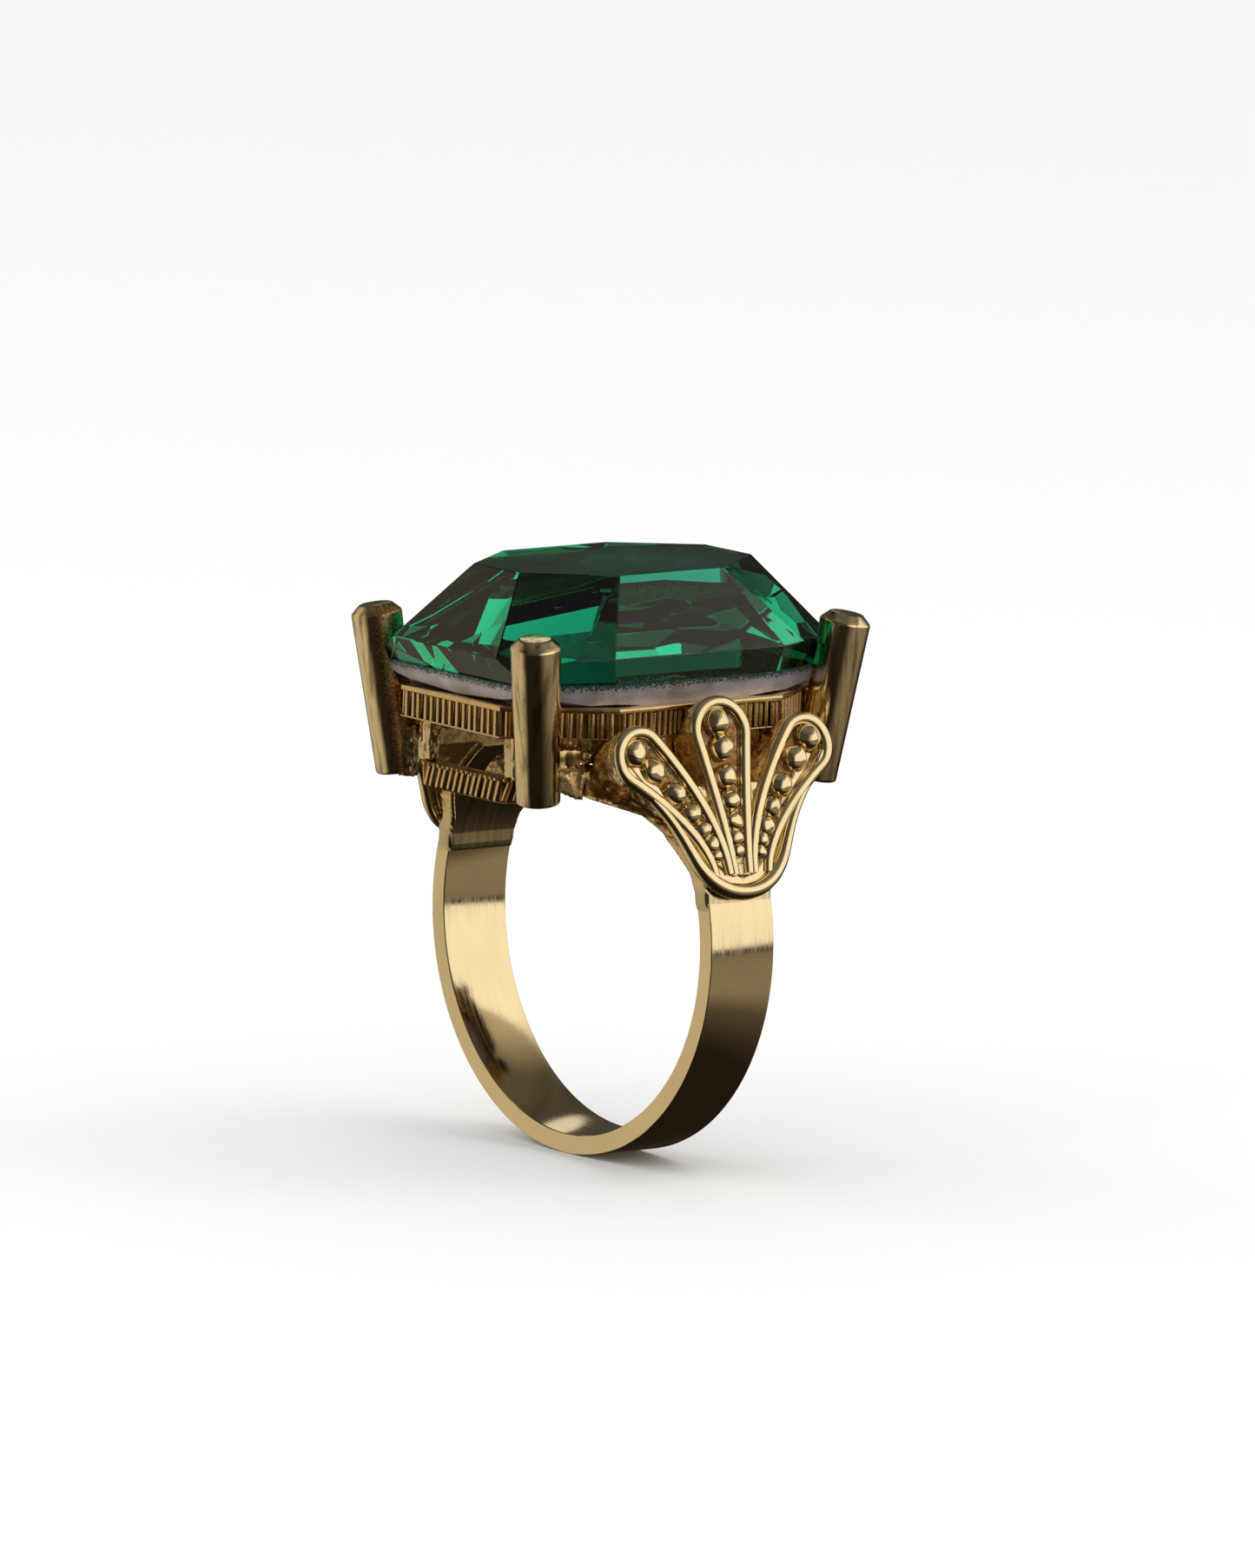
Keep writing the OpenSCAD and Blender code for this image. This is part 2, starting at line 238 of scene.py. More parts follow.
def settle(piece, name):
    """Names a fresh primitive and puts its place in its mesh."""
    only(piece)
    bpy.ops.object.transform_apply(location=True, rotation=True, scale=True)
    piece.name = piece.data.name = name
    return piece


def block(name, low, high):
    """A box between two corners."""
    middle, size = (Vector(low) + Vector(high)) / 2, Vector(high) - Vector(low)
    bpy.ops.mesh.primitive_cube_add(size=1, location=middle, scale=size)
    return settle(bpy.context.object, name)


# A point this near a cut's plane is taken to lie on it
ON_PLANE = 1e-5


def saw(piece, point, normal, fill=True):
    """Cuts away everything on the normal's side of a plane."""
    with editing(piece):
        bpy.ops.mesh.bisect(plane_co=point, plane_no=normal, use_fill=fill, clear_outer=True,
                            threshold=ON_PLANE)


def score(piece, point, normal):
    """Adds a line of edges where a plane crosses the piece."""
    with editing(piece):
        bpy.ops.mesh.bisect(plane_co=point, plane_no=normal, threshold=ON_PLANE)


def apply_modifiers(piece):
    """Applies the piece's modifiers in their order."""
    only(piece)
    for modifier in list(piece.modifiers):
        bpy.ops.object.modifier_apply(modifier=modifier.name)


def break_edges(piece, width, segments=2, angle=35):
    """Rounds the sharp edges a little, as polishing does."""
    bevel = piece.modifiers.new("edges", "BEVEL")
    bevel.width, bevel.segments, bevel.limit_method = width, segments, "ANGLE"
    bevel.angle_limit = math.radians(angle)
    bevel.miter_outer = "MITER_ARC"
    apply_modifiers(piece)


def carve(piece, tool, operation="DIFFERENCE"):
    """Cuts a piece with another one, which is used up."""
    cut = piece.modifiers.new("carve", "BOOLEAN")
    cut.operation, cut.object, cut.solver = operation, tool, "EXACT"
    apply_modifiers(piece)
    bpy.data.objects.remove(tool)


def join(name, pieces):
    """Makes several meshes one piece."""
    bpy.ops.object.select_all(action="DESELECT")
    for piece in pieces:
        piece.select_set(True)
    bpy.context.view_layer.objects.active = pieces[0]
    if len(pieces) > 1:
        bpy.ops.object.join()
    joined = bpy.context.view_layer.objects.active
    joined.name = joined.data.name = name
    return joined


def copy_piece(piece, name, matrix):
    """A copy with a mesh of its own, moved by a matrix; a mirror image keeps its outside out."""
    twin = bpy.data.objects.new(name, piece.data.copy())
    twin.data.name = name
    bpy.context.scene.collection.objects.link(twin)
    twin.data.transform(matrix)
    if matrix.determinant() < 0:
        twin.data.flip_normals()
    return twin


def mirrored(x=1, y=1):
    """The matrix that turns a direction round where its factor is -1."""
    return Matrix.Diagonal((x, y, 1, 1))


def node_copy(node, name):
    """A copy of a frame node in millimetres, its loose triangles merged."""
    piece = copy_piece(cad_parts[node], name, Matrix.Diagonal((1 / MM, 1 / MM, 1 / MM, 1)))
    piece.data.materials.clear()
    with editing(piece, "VERT"):
        bpy.ops.mesh.remove_doubles(threshold=0.002)
    return piece


def recast(piece, voxel):
    """Rebuilds the skin as an even net, with the soft edges of a casting."""
    net = piece.modifiers.new("net", "REMESH")
    net.mode, net.voxel_size, net.use_smooth_shade = "VOXEL", voxel, True
    soften = piece.modifiers.new("soften", "SMOOTH")
    soften.factor, soften.iterations = 0.5, 2
    apply_modifiers(piece)
    return piece


def fade(value, width):
    """0 below zero, rising evenly to 1 at the width."""
    return min(1, max(0, value / width))


def work_skin(piece, depth_at):
    """Moves each point along its normal by depth_at(point, normal).

    How far it went in is kept as the attribute hollow."""
    mesh = piece.data
    depths = []
    for vertex in mesh.vertices:
        depth = depth_at(vertex.co, vertex.normal)
        depths.append((vertex.co + vertex.normal * depth, depth))
    for vertex, (place, _) in zip(mesh.vertices, depths):
        vertex.co = place
    hollow = mesh.attributes.new("hollow", "FLOAT", "POINT")
    hollow.data.foreach_set("value", [-depth for _, depth in depths])
    mesh.update()


def cast_skin(depth, grain, stretch=(1, 1, 1), offset=0.0):
    """A rough casting skin: lumps of one grain size and pits of a third of it."""
    stretch, shift = Vector(stretch), Vector((offset, -offset, offset * 0.7))

    def depth_at(point, normal):
        place = point * stretch / grain + shift
        lumps = noise.noise(place) + 0.55 * noise.noise(place * 2.9)
        pits = min(0, noise.noise(place * 1.7 + Vector((9, 4, 1))) + 0.15)
        return depth * (lumps + 1.2 * pits)

    return depth_at


def finish_piece(piece, node, body, material, angle=38):
    """Brings a piece to metres, gives it its finish and lets it stand for its frame node."""
    only(piece)
    piece.scale = (MM, MM, MM)
    bpy.ops.object.transform_apply(location=True, rotation=True, scale=True)
    piece.data.materials.clear()
    piece.data.materials.append(material)
    only(piece)
    bpy.ops.object.shade_smooth_by_angle(angle=math.radians(angle))
    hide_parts(node)
    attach(piece, body)
    return piece


def finish_both(piece, material, angle=38, words=("right", "left"), flip=(-1, 1)):
    """Finishes a piece and its mirror image, whose name has the second word for the first."""
    twin = copy_piece(piece, piece.name.replace(*words), mirrored(*flip))
    for made in (piece, twin):
        finish_piece(made, made.name.removeprefix("gold_"), "root", material, angle)


# ---------------------------------------------------------------- shapes shared by pieces


def octagon(o, inset=0.0):
    """Corners of an octagon with every face moved in by inset."""
    across, along, cut_x, cut_y = o
    n = Vector((cut_y, cut_x)).normalized()
    c = n.x * across + n.y * (along - cut_y) - inset
    a, b = across - inset, along - inset
    y, x = (c - n.x * a) / n.y, (c - n.y * b) / n.x
    return [Vector(p) for p in ((a, -y), (a, y), (x, b), (-x, b), (-a, y), (-a, -y), (-x, -b), (x, -b))]


def octagon_faces(o):
    """Outward direction and reach of each of the eight faces, the cut corners last."""
    corner = Vector((o.cut_y, o.cut_x)).normalized()
    reach = corner.x * o.across + corner.y * (o.along - o.cut_y)
    faces = [(Vector((x, 0)), o.across) for x in (-1, 1)] + [(Vector((0, y)), o.along) for y in (-1, 1)]
    return faces + [(Vector((x * corner.x, y * corner.y)), reach) for x, y in CORNERS]


def octagon_reach(o, out):
    """How far an octagon reaches in a direction."""
    return max(out.dot(p) for p in octagon(o))


def octagon_depth(o):
    """A function that gives a point's depth behind the faces of an octagon."""
    faces = octagon_faces(o)
    return lambda p: -max(out.dot(p.xy) - reach for out, reach in faces)


def octagon_block(name, o, z0, z1):
    """A box with its four upright corners sawn off."""
    piece = block(name, (-o.across, -o.along, z0), (o.across, o.along, z1))
    for direction, reach in octagon_faces(o)[4:]:
        saw(piece, (direction * reach).to_3d(), direction.to_3d())
    return piece


def octagon_ring(name, o, thickness, z0, z1):
    """An octagonal wall: the block's top and bottom are inset and bridged through."""
    depth = octagon_depth(o)

    def round_the_hole(p, q):
        return abs(p.z - q.z) < ON_PLANE and min(depth(p), depth(q)) > 0.5 * thickness

    piece = octagon_block(name, o, z0, z1)
    with editing(piece):
        pick_faces(piece, lambda c, n: abs(n.z) > 0.9)
        bpy.ops.mesh.inset(thickness=thickness, use_even_offset=True)
        bpy.ops.mesh.delete(type="FACE")
        pick_edges(piece, round_the_hole)
        bpy.ops.mesh.bridge_edge_loops()
        bpy.ops.mesh.select_all(action="SELECT")
        bpy.ops.mesh.normals_make_consistent(inside=False)
    return piece


def cut_stone(name, grow=0.0, pavilion=True):
    """Cuts the stone facet by facet from a block, as a lapidary does; grow makes it larger all round."""
    bottom = STONE_LOW.z - grow
    piece = block(name, (-GIRDLE.across - grow, -GIRDLE.along - grow, bottom),
                  (GIRDLE.across + grow, GIRDLE.along + grow, TABLE_Z))
    for out, girdle_reach in octagon_faces(GIRDLE):
        wall_slope = (girdle_reach - octagon_reach(FOOT, out)) / (CROWN_Z - SEAT_Z)
        crown_slope = (girdle_reach - octagon_reach(TABLE, out)) / (TABLE_Z - CROWN_Z)
        at = (out * (girdle_reach + grow)).to_3d() + Vector((0, 0, CROWN_Z))
        saw(piece, at, (out.x, out.y, -wall_slope))
        saw(piece, at, (out.x, out.y, crown_slope))
    # an extra facet runs down from each corner of the table to the end of the girdle
    for x, y in CORNERS:
        out = Vector((x * TABLE.cut_y, y * TABLE.cut_x)).normalized()
        table_reach = out.dot(Vector((x * TABLE.across, y * (TABLE.along - TABLE.cut_y))))
        girdle_reach = out.dot(Vector((x * (GIRDLE.across - GIRDLE.cut_x), y * GIRDLE.along)))
        slope = (girdle_reach - table_reach) / (TABLE_Z - CROWN_Z)
        at = (out * (table_reach + grow)).to_3d() + Vector((0, 0, TABLE_Z))
        saw(piece, at, (out.x, out.y, slope))
    for count, turn, slope, share in PAVILION if pavilion else ():
        for i in range(count):
            a = math.radians(turn + 360 * i / count)
            out = Vector((math.cos(a) * FOOT.across, math.sin(a) * FOOT.along)).normalized()
            drop = (1 - share) * PAVILION_DEPTH
            at = (out * (octagon_reach(FOOT, out) * share)).to_3d() + Vector((0, 0, SEAT_Z - drop - grow))
            saw(piece, at, (out.x * slope, out.y * slope, -1))
    return piece


# The palmette is drawn flat, x along the finger and y up the slope, then leant on the shoulder
ON_FAN = Matrix((
    (0, -math.sin(FAN_LEAN), math.cos(FAN_LEAN), FAN_X0),
    (1, 0, 0, 0),
    (0, math.cos(FAN_LEAN), math.sin(FAN_LEAN), FAN_FOOT_Z),
    (0, 0, 0, 1)))
OFF_FAN = ON_FAN.inverted()


def lobe_r(side, t):
    """Half the width of a lobe at a share t of its length."""
    return LOBE_FOOT_R + (LOBE_HEAD_R[side] - LOBE_FOOT_R) * max(t, 0) ** LOBE_POWER[side]


def axis_point(side, t):
    """Point of a lobe's middle line, which bends outwards on its way up."""
    return Vector((side * (1.05 + 3.4 * t ** 1.7), LOBE_FOOT + (LOBE_TOP[side] - LOBE_FOOT) * t))


def run_dir(side, t):
    """Direction of a lobe's middle line."""
    return (axis_point(side, min(1, t + 0.02)) - axis_point(side, max(0, t - 0.02))).normalized()


def lobe_points(side, grow, first=0.0, steps=14, turns=18):
    """Outline of a lobe: up its right edge, round its head and down its left edge."""
    def edge(t, hand):
        run = run_dir(side, t)
        return axis_point(side, t) + Vector((run.y, -run.x)) * hand * (lobe_r(side, t) + grow)

    ts = [first + (1 - first) * i / steps for i in range(steps)]
    up = run_dir(side, 1)
    a0 = math.atan2(up.y, up.x)
    head, radius = axis_point(side, 1), lobe_r(side, 1) + grow
    arc = [head + radius * Vector((math.cos(a), math.sin(a)))
           for a in (a0 - math.pi / 2 + math.pi * i / turns for i in range(turns + 1))]
    return [edge(t, 1) for t in ts] + arc + [edge(t, -1) for t in reversed(ts)]


LOBE_DISCS = [(axis_point(side, i / 24), lobe_r(side, i / 24)) for side in LOBES.values() for i in range(25)]


def lobe_depth(x, y):
    """How far inside the nearest lobe a point of the palmette lies, in millimetres; negative outside."""
    return max(radius - math.hypot(x - middle.x, y - middle.y) for middle, radius in LOBE_DISCS)


def wire(name, points, radius, height=0.0, ends=1.0, flat=1.0, taper=6):
    """A round wire bent along flat points; its ends may be drawn thinner."""
    curve = bpy.data.curves.new(name, "CURVE")
    curve.dimensions, curve.bevel_depth, curve.bevel_resolution, curve.use_fill_caps = "3D", radius, 3, True
    spline = curve.splines.new("NURBS")
    spline.points.add(len(points) - 1)
    for i, (place, point) in enumerate(zip(points, spline.points)):
        point.co = (place.x, place.y, height, 1)
        near_end = min(i, len(points) - 1 - i) / taper
        point.radius = ends + (1 - ends) * min(1, near_end)
    spline.use_endpoint_u, spline.order_u, spline.resolution_u = True, 3, 3
    piece = bpy.data.objects.new(name, curve)
    bpy.context.scene.collection.objects.link(piece)
    only(piece)
    bpy.ops.object.convert(target="MESH")
    piece = bpy.context.object
    if flat != 1.0:
        with editing(piece, "VERT"):
            bpy.ops.transform.resize(value=(1, 1, flat), center_override=(0, 0, height))
    return piece


def grain(name, radius, place, squash=0.9, seed=0):
    """A melted grain of gold: a little ball, never quite round."""
    bpy.ops.mesh.primitive_ico_sphere_add(subdivisions=3, radius=radius, location=place)
    piece = settle(bpy.context.object, name)
    with editing(piece, "VERT"):
        bpy.ops.transform.resize(value=(1, 1, squash), center_override=place)
    for vertex in piece.data.vertices:
        out = (vertex.co - Vector(place)) / radius
        vertex.co += out * radius * 0.16 * noise.noise(out * 1.3 + Vector((seed, 0, seed * 0.3)))
    return piece


# ---------------------------------------------------------------- finishes


class Wiring:
    """A node tree and short words for its nodes."""

    def __init__(self, tree):
        self.tree = tree
        tree.nodes.clear()

    def node(self, kind, **settings):
        made = self.tree.nodes.new(kind)
        for key, value in settings.items():
            setattr(made, key, value)
        return made

    def put(self, socket, value):
        """Links a socket to another one, or sets it to a constant."""
        if isinstance(value, bpy.types.NodeSocket):
            self.tree.links.new(value, socket)
        else:
            socket.default_value = value

    def span(self, value, low, high, new_low=0.0, new_high=1.0, **settings):
        """Brings low..high to new_low..new_high and holds it there beyond."""
        made = self.node("ShaderNodeMapRange", **settings)
        for socket, number in zip(made.inputs[:5], (value, low, high, new_low, new_high)):
            self.put(socket, number)
        return made.outputs[0]

    def math(self, operation, a, b, clamp=False):
        made = self.node("ShaderNodeMath", operation=operation, use_clamp=clamp)
        self.put(made.inputs[0], a)
        self.put(made.inputs[1], b)
        return made.outputs[0]

    def plus(self, a, b, clamp=False):
        return self.math("ADD", a, b, clamp)

    def times(self, a, b):
        return self.math("MULTIPLY", a, b)

    def mix(self, share, a, b):
        """Colour a where share is 0, and b where it is 1."""
        made = self.node("ShaderNodeMix", data_type="RGBA")
        self.put(made.inputs["Factor"], share)
        for key, colour in (("A", a), ("B", b)):
            if not isinstance(colour, bpy.types.NodeSocket):
                colour = tuple(colour) + (1,)
            self.put(made.inputs[key], colour)
        return made.outputs["Result"]

    def axes(self, place):
        """The X, Y and Z of a place."""
        made = self.node("ShaderNodeSeparateXYZ")
        self.put(made.inputs[0], place)
        return made.outputs


class Recipe(Wiring):
    """A material, laid out on Object coordinates, with its sizes in millimetres."""

    def __init__(self, name):
        self.material = bpy.data.materials.new(name)
        self.material.use_nodes = True
        super().__init__(self.material.node_tree)
        self.out = self.node("ShaderNodeOutputMaterial")
        self.shader = self.node("ShaderNodeBsdfPrincipled")
        self.put(self.out.inputs["Surface"], self.shader.outputs[0])
        self.place = self.node("ShaderNodeTexCoord").outputs["Object"]

    def noise(self, size_mm, detail=3.0, stretch=(1, 1, 1), rough=0.55):
        mapping = self.node("ShaderNodeMapping")
        self.put(mapping.inputs["Vector"], self.place)
        self.put(mapping.inputs["Scale"], stretch)
        made = self.node("ShaderNodeTexNoise")
        for key, value in (("Vector", mapping.outputs[0]), ("Scale", 1 / (size_mm * MM)),
                           ("Detail", detail), ("Roughness", rough)):
            self.put(made.inputs[key], value)
        return made.outputs["Fac"]

    def attribute(self, name):
        return self.node("ShaderNodeAttribute", attribute_name=name).outputs["Fac"]

    def bump(self, height, distance_mm, strength=1.0):
        made = self.node("ShaderNodeBump")
        self.put(made.inputs["Height"], height)
        self.put(made.inputs["Distance"], distance_mm * MM)
        self.put(made.inputs["Strength"], strength)
        self.put(self.shader.inputs["Normal"], made.outputs[0])

    def set(self, **values):
        """Sets sockets of the surface by their names in small letters."""
        for key, value in values.items():
            self.put(self.shader.inputs[key.replace("_", " ").title()], value)


def shade(colour, factor):
    """The colour made darker, or lighter above 1."""
    return tuple(c * factor for c in colour)


@cache
def polished_gold():
    """Buffed gold: faint cloudiness and hairline scratches round the band."""
    colour = bpy.context.scene.ring_finish.polished
    r = Recipe("polished_gold")
    cloud = r.noise(2.2, 2)
    lines = r.noise(0.9, 3, (0.25, 9, 0.25))
    marks = r.noise(0.22, 2, (1, 1, 1))
    tone = r.mix(r.span(cloud, 0.35, 0.7), shade(colour, 0.93), colour)
    r.set(base_color=r.mix(r.span(lines, 0.55, 0.8, 0, 0.35), tone, shade(colour, 0.8)), metallic=1.0)
    r.set(roughness=r.plus(r.span(lines, 0.3, 0.75, 0.07, 0.17), r.span(marks, 0.55, 0.8, 0, 0.06)))
    r.bump(r.plus(r.times(lines, 0.7), r.times(marks, 0.3)), 0.004, 0.35)
    return r.material


@cache
def claw_gold():
    """Claws: satin gold filed along their length, with painted dark reflection streaks, copper and rough on
    the side that faces the stone.
    """
    settings = bpy.context.scene.ring_finish
    r = Recipe("claw_gold")
    cloud = r.noise(1.1, 3, (1, 1, 0.5))
    lines = r.noise(0.34, 3, (1, 1, 0.05))
    fine = r.noise(0.12, 3)
    inner = r.span(r.plus(r.attribute("hollow"), r.span(cloud, 0.3, 0.7, -0.12, 0.12)), 0.2, 0.5)
    tone = r.mix(r.span(cloud, 0.35, 0.7), shade(settings.polished, 0.85), settings.polished)
    # painted reflection: dark streaks along the claw stand in for the stripes it mirrors; the same lines
    # also file the bump
    tone = r.mix(r.span(lines, 0.5, 0.66, 0, 0.75), tone, shade(settings.cast, 0.3))
    raw = r.mix(r.span(fine, 0.42, 0.6), shade(settings.copper, 0.8), shade(settings.cast, 0.85))
    r.set(base_color=r.mix(inner, tone, raw), metallic=1.0)
    r.set(roughness=r.plus(r.span(lines, 0.3, 0.75, 0.08, 0.16), r.span(inner, 0, 1, 0, 0.24)))
    grit = r.times(fine, r.span(inner, 0, 1, 0.25, 1.0))
    r.bump(r.plus(r.times(lines, 0.6), grit), 0.02, 0.5)
    return r.material


@cache
def cast_gold():
    """Rough gold from the mould: copper oxide and painted shade in its hollows, near black where deepest;
    polished in the finger hole.
    """
    settings = bpy.context.scene.ring_finish
    r = Recipe("cast_gold")
    depth = r.span(r.attribute("hollow"), -0.05, 0.07)
    fine = r.noise(0.16, 4, (1, 1, 1), 0.65)
    patch = r.noise(1.6, 3)
    hollow = r.plus(r.times(depth, 0.75), r.span(fine, 0.35, 0.7, -0.18, 0.30), clamp=True)
    # painted shade: hollows turn copper (partly real oxide) or darker gold, and near black where deepest
    bloom_and_shade = r.mix(r.span(patch, 0.42, 0.62), shade(settings.copper, 0.9), shade(settings.cast, 0.42))
    tone = r.mix(r.span(hollow, 0.3, 0.75), settings.cast, bloom_and_shade)
    tone = r.mix(r.span(hollow, 0.72, 1.0, 0, 0.85), tone, (0.05, 0.022, 0.008))
    x, _, z = r.axes(r.place)
    from_axis = r.math("POWER", r.plus(r.times(x, x), r.times(z, z)), 0.5)
    in_bore = r.span(from_axis, (BORE_R + 0.12) * MM, (BORE_R + 0.05) * MM)
    in_bore = r.math("MAXIMUM", in_bore, r.span(z, (JOINT_Z + 1.7) * MM, (JOINT_Z + 0.9) * MM))
    lines = r.noise(1.1, 3, (0.3, 7, 0.3))
    plate = r.mix(r.span(lines, 0.35, 0.7), shade(settings.polished, 0.62), shade(settings.polished, 0.95))
    r.set(base_color=r.mix(in_bore, tone, plate), metallic=1.0)
    rough = r.plus(r.span(hollow, 0.1, 0.9, 0.2, 0.5), r.span(fine, 0.4, 0.7, 0, 0.08))
    keep = r.math("SUBTRACT", 1.0, in_bore)
    smooth = r.span(lines, 0.3, 0.7, 0.12, 0.24)
    r.set(roughness=r.plus(r.times(rough, keep), r.times(smooth, in_bore)))
    r.bump(r.times(fine, r.span(keep, 0, 1, 0.08, 1)), 0.035, 0.55)
    return r.material


@cache
def lobe_gold():
    """Gold in the palmette: painted shade, copper and dark brown, in the sunk lobes, stronger towards their
    heads; the foot, little shaded, stays bright.
    """
    settings = bpy.context.scene.ring_finish
    r = Recipe("palmette_gold")
    depth = r.span(r.attribute("hollow"), -0.03, 0.16)
    fine = r.noise(0.14, 4, (1, 1, 1), 0.65)
    # painted shade: the lobes' hollows darken more the higher they stand on the fan; the copper is partly
    # real oxide
    rise = r.span(r.axes(r.place)[2], (FAN_FOOT_Z + 1.6) * MM, (FAN_FOOT_Z + 4.6) * MM)
    hollow = r.plus(r.times(depth, r.span(rise, 0, 1, 0.25, 0.95)),
                    r.span(fine, 0.35, 0.7, -0.15, 0.28), clamp=True)
    streak = r.noise(0.5, 3, (1, 2.2, 0.5))
    bloom_and_shade = r.mix(r.span(streak, 0.44, 0.6), shade(settings.copper, 0.7), (0.20, 0.125, 0.055))
    tone = r.mix(r.span(hollow, 0.35, 0.8), shade(settings.polished, 0.95), bloom_and_shade)
    r.set(base_color=tone, metallic=1.0, roughness=r.span(hollow, 0, 1, 0.2, 0.42))
    r.bump(fine, 0.03, 0.5)
    return r.material


@cache
def reed_gold():
    """Gold of the fluted rails: worn bright on the reeds, with painted shade, dark brown and copper, between
    them.
    """
    settings = bpy.context.scene.ring_finish
    r = Recipe("reeded_gold")
    streak = r.noise(0.35, 4, (1, 1, 0.16))
    fine = r.noise(0.1, 3)
    patch = r.noise(1.8, 2)
    hollow = r.attribute("hollow")
    # painted shade: the grooves between the reeds darken to dark brown and copper, the copper partly real
    # oxide
    dark = r.plus(r.span(hollow, -0.05, 0.05, 0, 0.9), r.span(streak, 0.4, 0.65, -0.15, 0.35), clamp=True)
    bloom_and_shade = r.mix(r.span(patch, 0.48, 0.6), (0.11, 0.055, 0.018), shade(settings.copper, 0.6))
    r.set(base_color=r.mix(r.span(dark, 0.3, 0.8), shade(settings.cast, 0.95), bloom_and_shade), metallic=1.0)
    r.set(roughness=r.plus(r.span(dark, 0, 1, 0.16, 0.42), r.span(fine, 0.4, 0.7, 0, 0.08)))
    r.bump(r.plus(streak, r.times(fine, 0.5)), 0.025, 0.45)
    return r.material


@cache
def foil_silver():
    """Silver paint on the back of the stone, mauve in its shadows, broken into specks along its top edge."""
    colour = bpy.context.scene.ring_finish.foil
    r = Recipe("foil_silver")
    cloud = r.noise(1.4, 3)
    specks = r.noise(0.09, 3, (1, 1, 1), 0.7)
    edge = r.span(r.axes(r.place)[2], (SEAT_Z + 0.55) * MM, (SEAT_Z + 1.0) * MM)
    bare_with_painted_shade = r.span(r.plus(specks, r.times(edge, 0.32)), 0.62, 0.68)
    tone = r.mix(r.span(cloud, 0.35, 0.65), shade(colour, 0.72), shade(colour, 1.15))
    tone = r.mix(r.span(specks, 0.52, 0.62, 0, 0.5), tone, (0.72, 0.68, 0.70))
    # painted shade: where the foil is bare, the shell is painted near-black green for the dark seen through
    # the unfoiled glass
    r.set(base_color=r.mix(bare_with_painted_shade, tone, (0.008, 0.03, 0.02)), metallic=r.span(bare_with_painted_shade, 0, 1, 0.75, 0.0),
          roughness=r.span(specks, 0.3, 0.7, 0.28, 0.5))
    r.bump(specks, 0.02, 0.4)
    return r.material


@cache
def green_glass():
    """Deep green glass: coloured by its depth, with rubbed facet edges and a few faint veils."""
    settings = bpy.context.scene.ring_finish
    r = Recipe("green_glass")
    veil = r.noise(1.3, 3, (1, 0.5, 1))
    r.set(base_color=r.mix(r.span(veil, 0.4, 0.7), (0.70, 0.96, 0.88), (0.82, 1.0, 0.94)),
          roughness=r.span(r.noise(0.8, 2), 0.35, 0.75, 0.0, 0.012), metallic=0.0)
    r.shader.inputs["Transmission Weight"].default_value = 1.0
    r.shader.inputs["IOR"].default_value = 1.56
    r.shader.inputs["Specular IOR Level"].default_value = 0.3
    r.bump(r.noise(3.0, 1), 0.004, 0.1)
    inside = r.node("ShaderNodeVolumeAbsorption")
    inside.inputs["Color"].default_value = tuple(settings.glass) + (1,)
    inside.inputs["Density"].default_value = settings.glass_depth
    r.put(r.out.inputs["Volume"], inside.outputs[0])
    return r.material


# ---------------------------------------------------------------- pieces


class RING_OT_band(bpy.types.Operator):
    """Spins the flat band round the finger and breaks its edges"""

    bl_idname = "ring.band"
    bl_label = "Band"

    def execute(self, context):
        half = BAND_HIGH.y
        bpy.ops.mesh.primitive_plane_add(size=1)
        piece = settle(bpy.context.object, "gold_band")
        with editing(piece, "VERT"):
            mesh = bmesh.from_edit_mesh(piece.data)
            corners = [(BORE_R, -half), (BAND_R, -half), (BAND_R, half), (BORE_R, half)]
            for vertex, (x, y) in zip(mesh.faces[:][0].verts, corners):
                vertex.co = (x, y, 0)
            bmesh.update_edit_mesh(piece.data)
            bpy.ops.mesh.delete(type="ONLY_FACE")
            bpy.ops.mesh.select_all(action="SELECT")
            bpy.ops.mesh.spin(steps=160, angle=2 * math.pi, center=(0, 0, 0), axis=(0, 1, 0))
            bpy.ops.mesh.select_all(action="SELECT")
            bpy.ops.mesh.remove_doubles(threshold=0.001)
            bpy.ops.mesh.normals_make_consistent(inside=False)
        break_edges(piece, context.scene.ring_sizes.edge_break / MM, 3, 50)
        saw(piece, (0, 0, JOINT_Z), (0, 0, 1))
        finish_piece(piece, "band", "root", polished_gold(), 30)
        return {"FINISHED"}


class RING_OT_shoulders(bpy.types.Operator):
    """Works the shoulder castings: rough outside, smooth against the finger"""

    bl_idname = "ring.shoulders"
    bl_label = "Shoulders"

    def execute(self, context):
        depth = context.scene.ring_sizes.cast_depth / MM
        true_bore, half_saddle, lap, swell_at_joint = 0.14, 2.5, 0.35, 0.05
        piece = recast(node_copy("right_shoulder", "gold_right_shoulder"), 0.11)
        skin = cast_skin(depth, 0.42)

        def depth_at(point, normal):
            axis = math.hypot(point.x, point.z)
            if axis < BORE_R + true_bore:
                # what faces the finger goes back to the bore
                faces_finger = normal.dot(Vector((point.x, 0, point.z))) < -7.5
                return axis - BORE_R if abs(point.y) < half_saddle and faces_finger else 0.0
            rough = fade(point.z - JOINT_Z - 0.5, 1.8) * fade(axis - BORE_R - SMOOTH, ROUGH_OVER)
            swell = swell_at_joint * fade(JOINT_Z + 2.5 - point.z, 1.5)
            return skin(point, normal) * 1.1 * rough + swell

        work_skin(piece, depth_at)
        # the rounded lower end sinks into the band, so that the joint runs smooth
        for vertex in piece.data.vertices:
            if vertex.co.z < JOINT_Z + lap:
                vertex.co.z -= lap
        finish_both(piece, cast_gold())
        return {"FINISHED"}


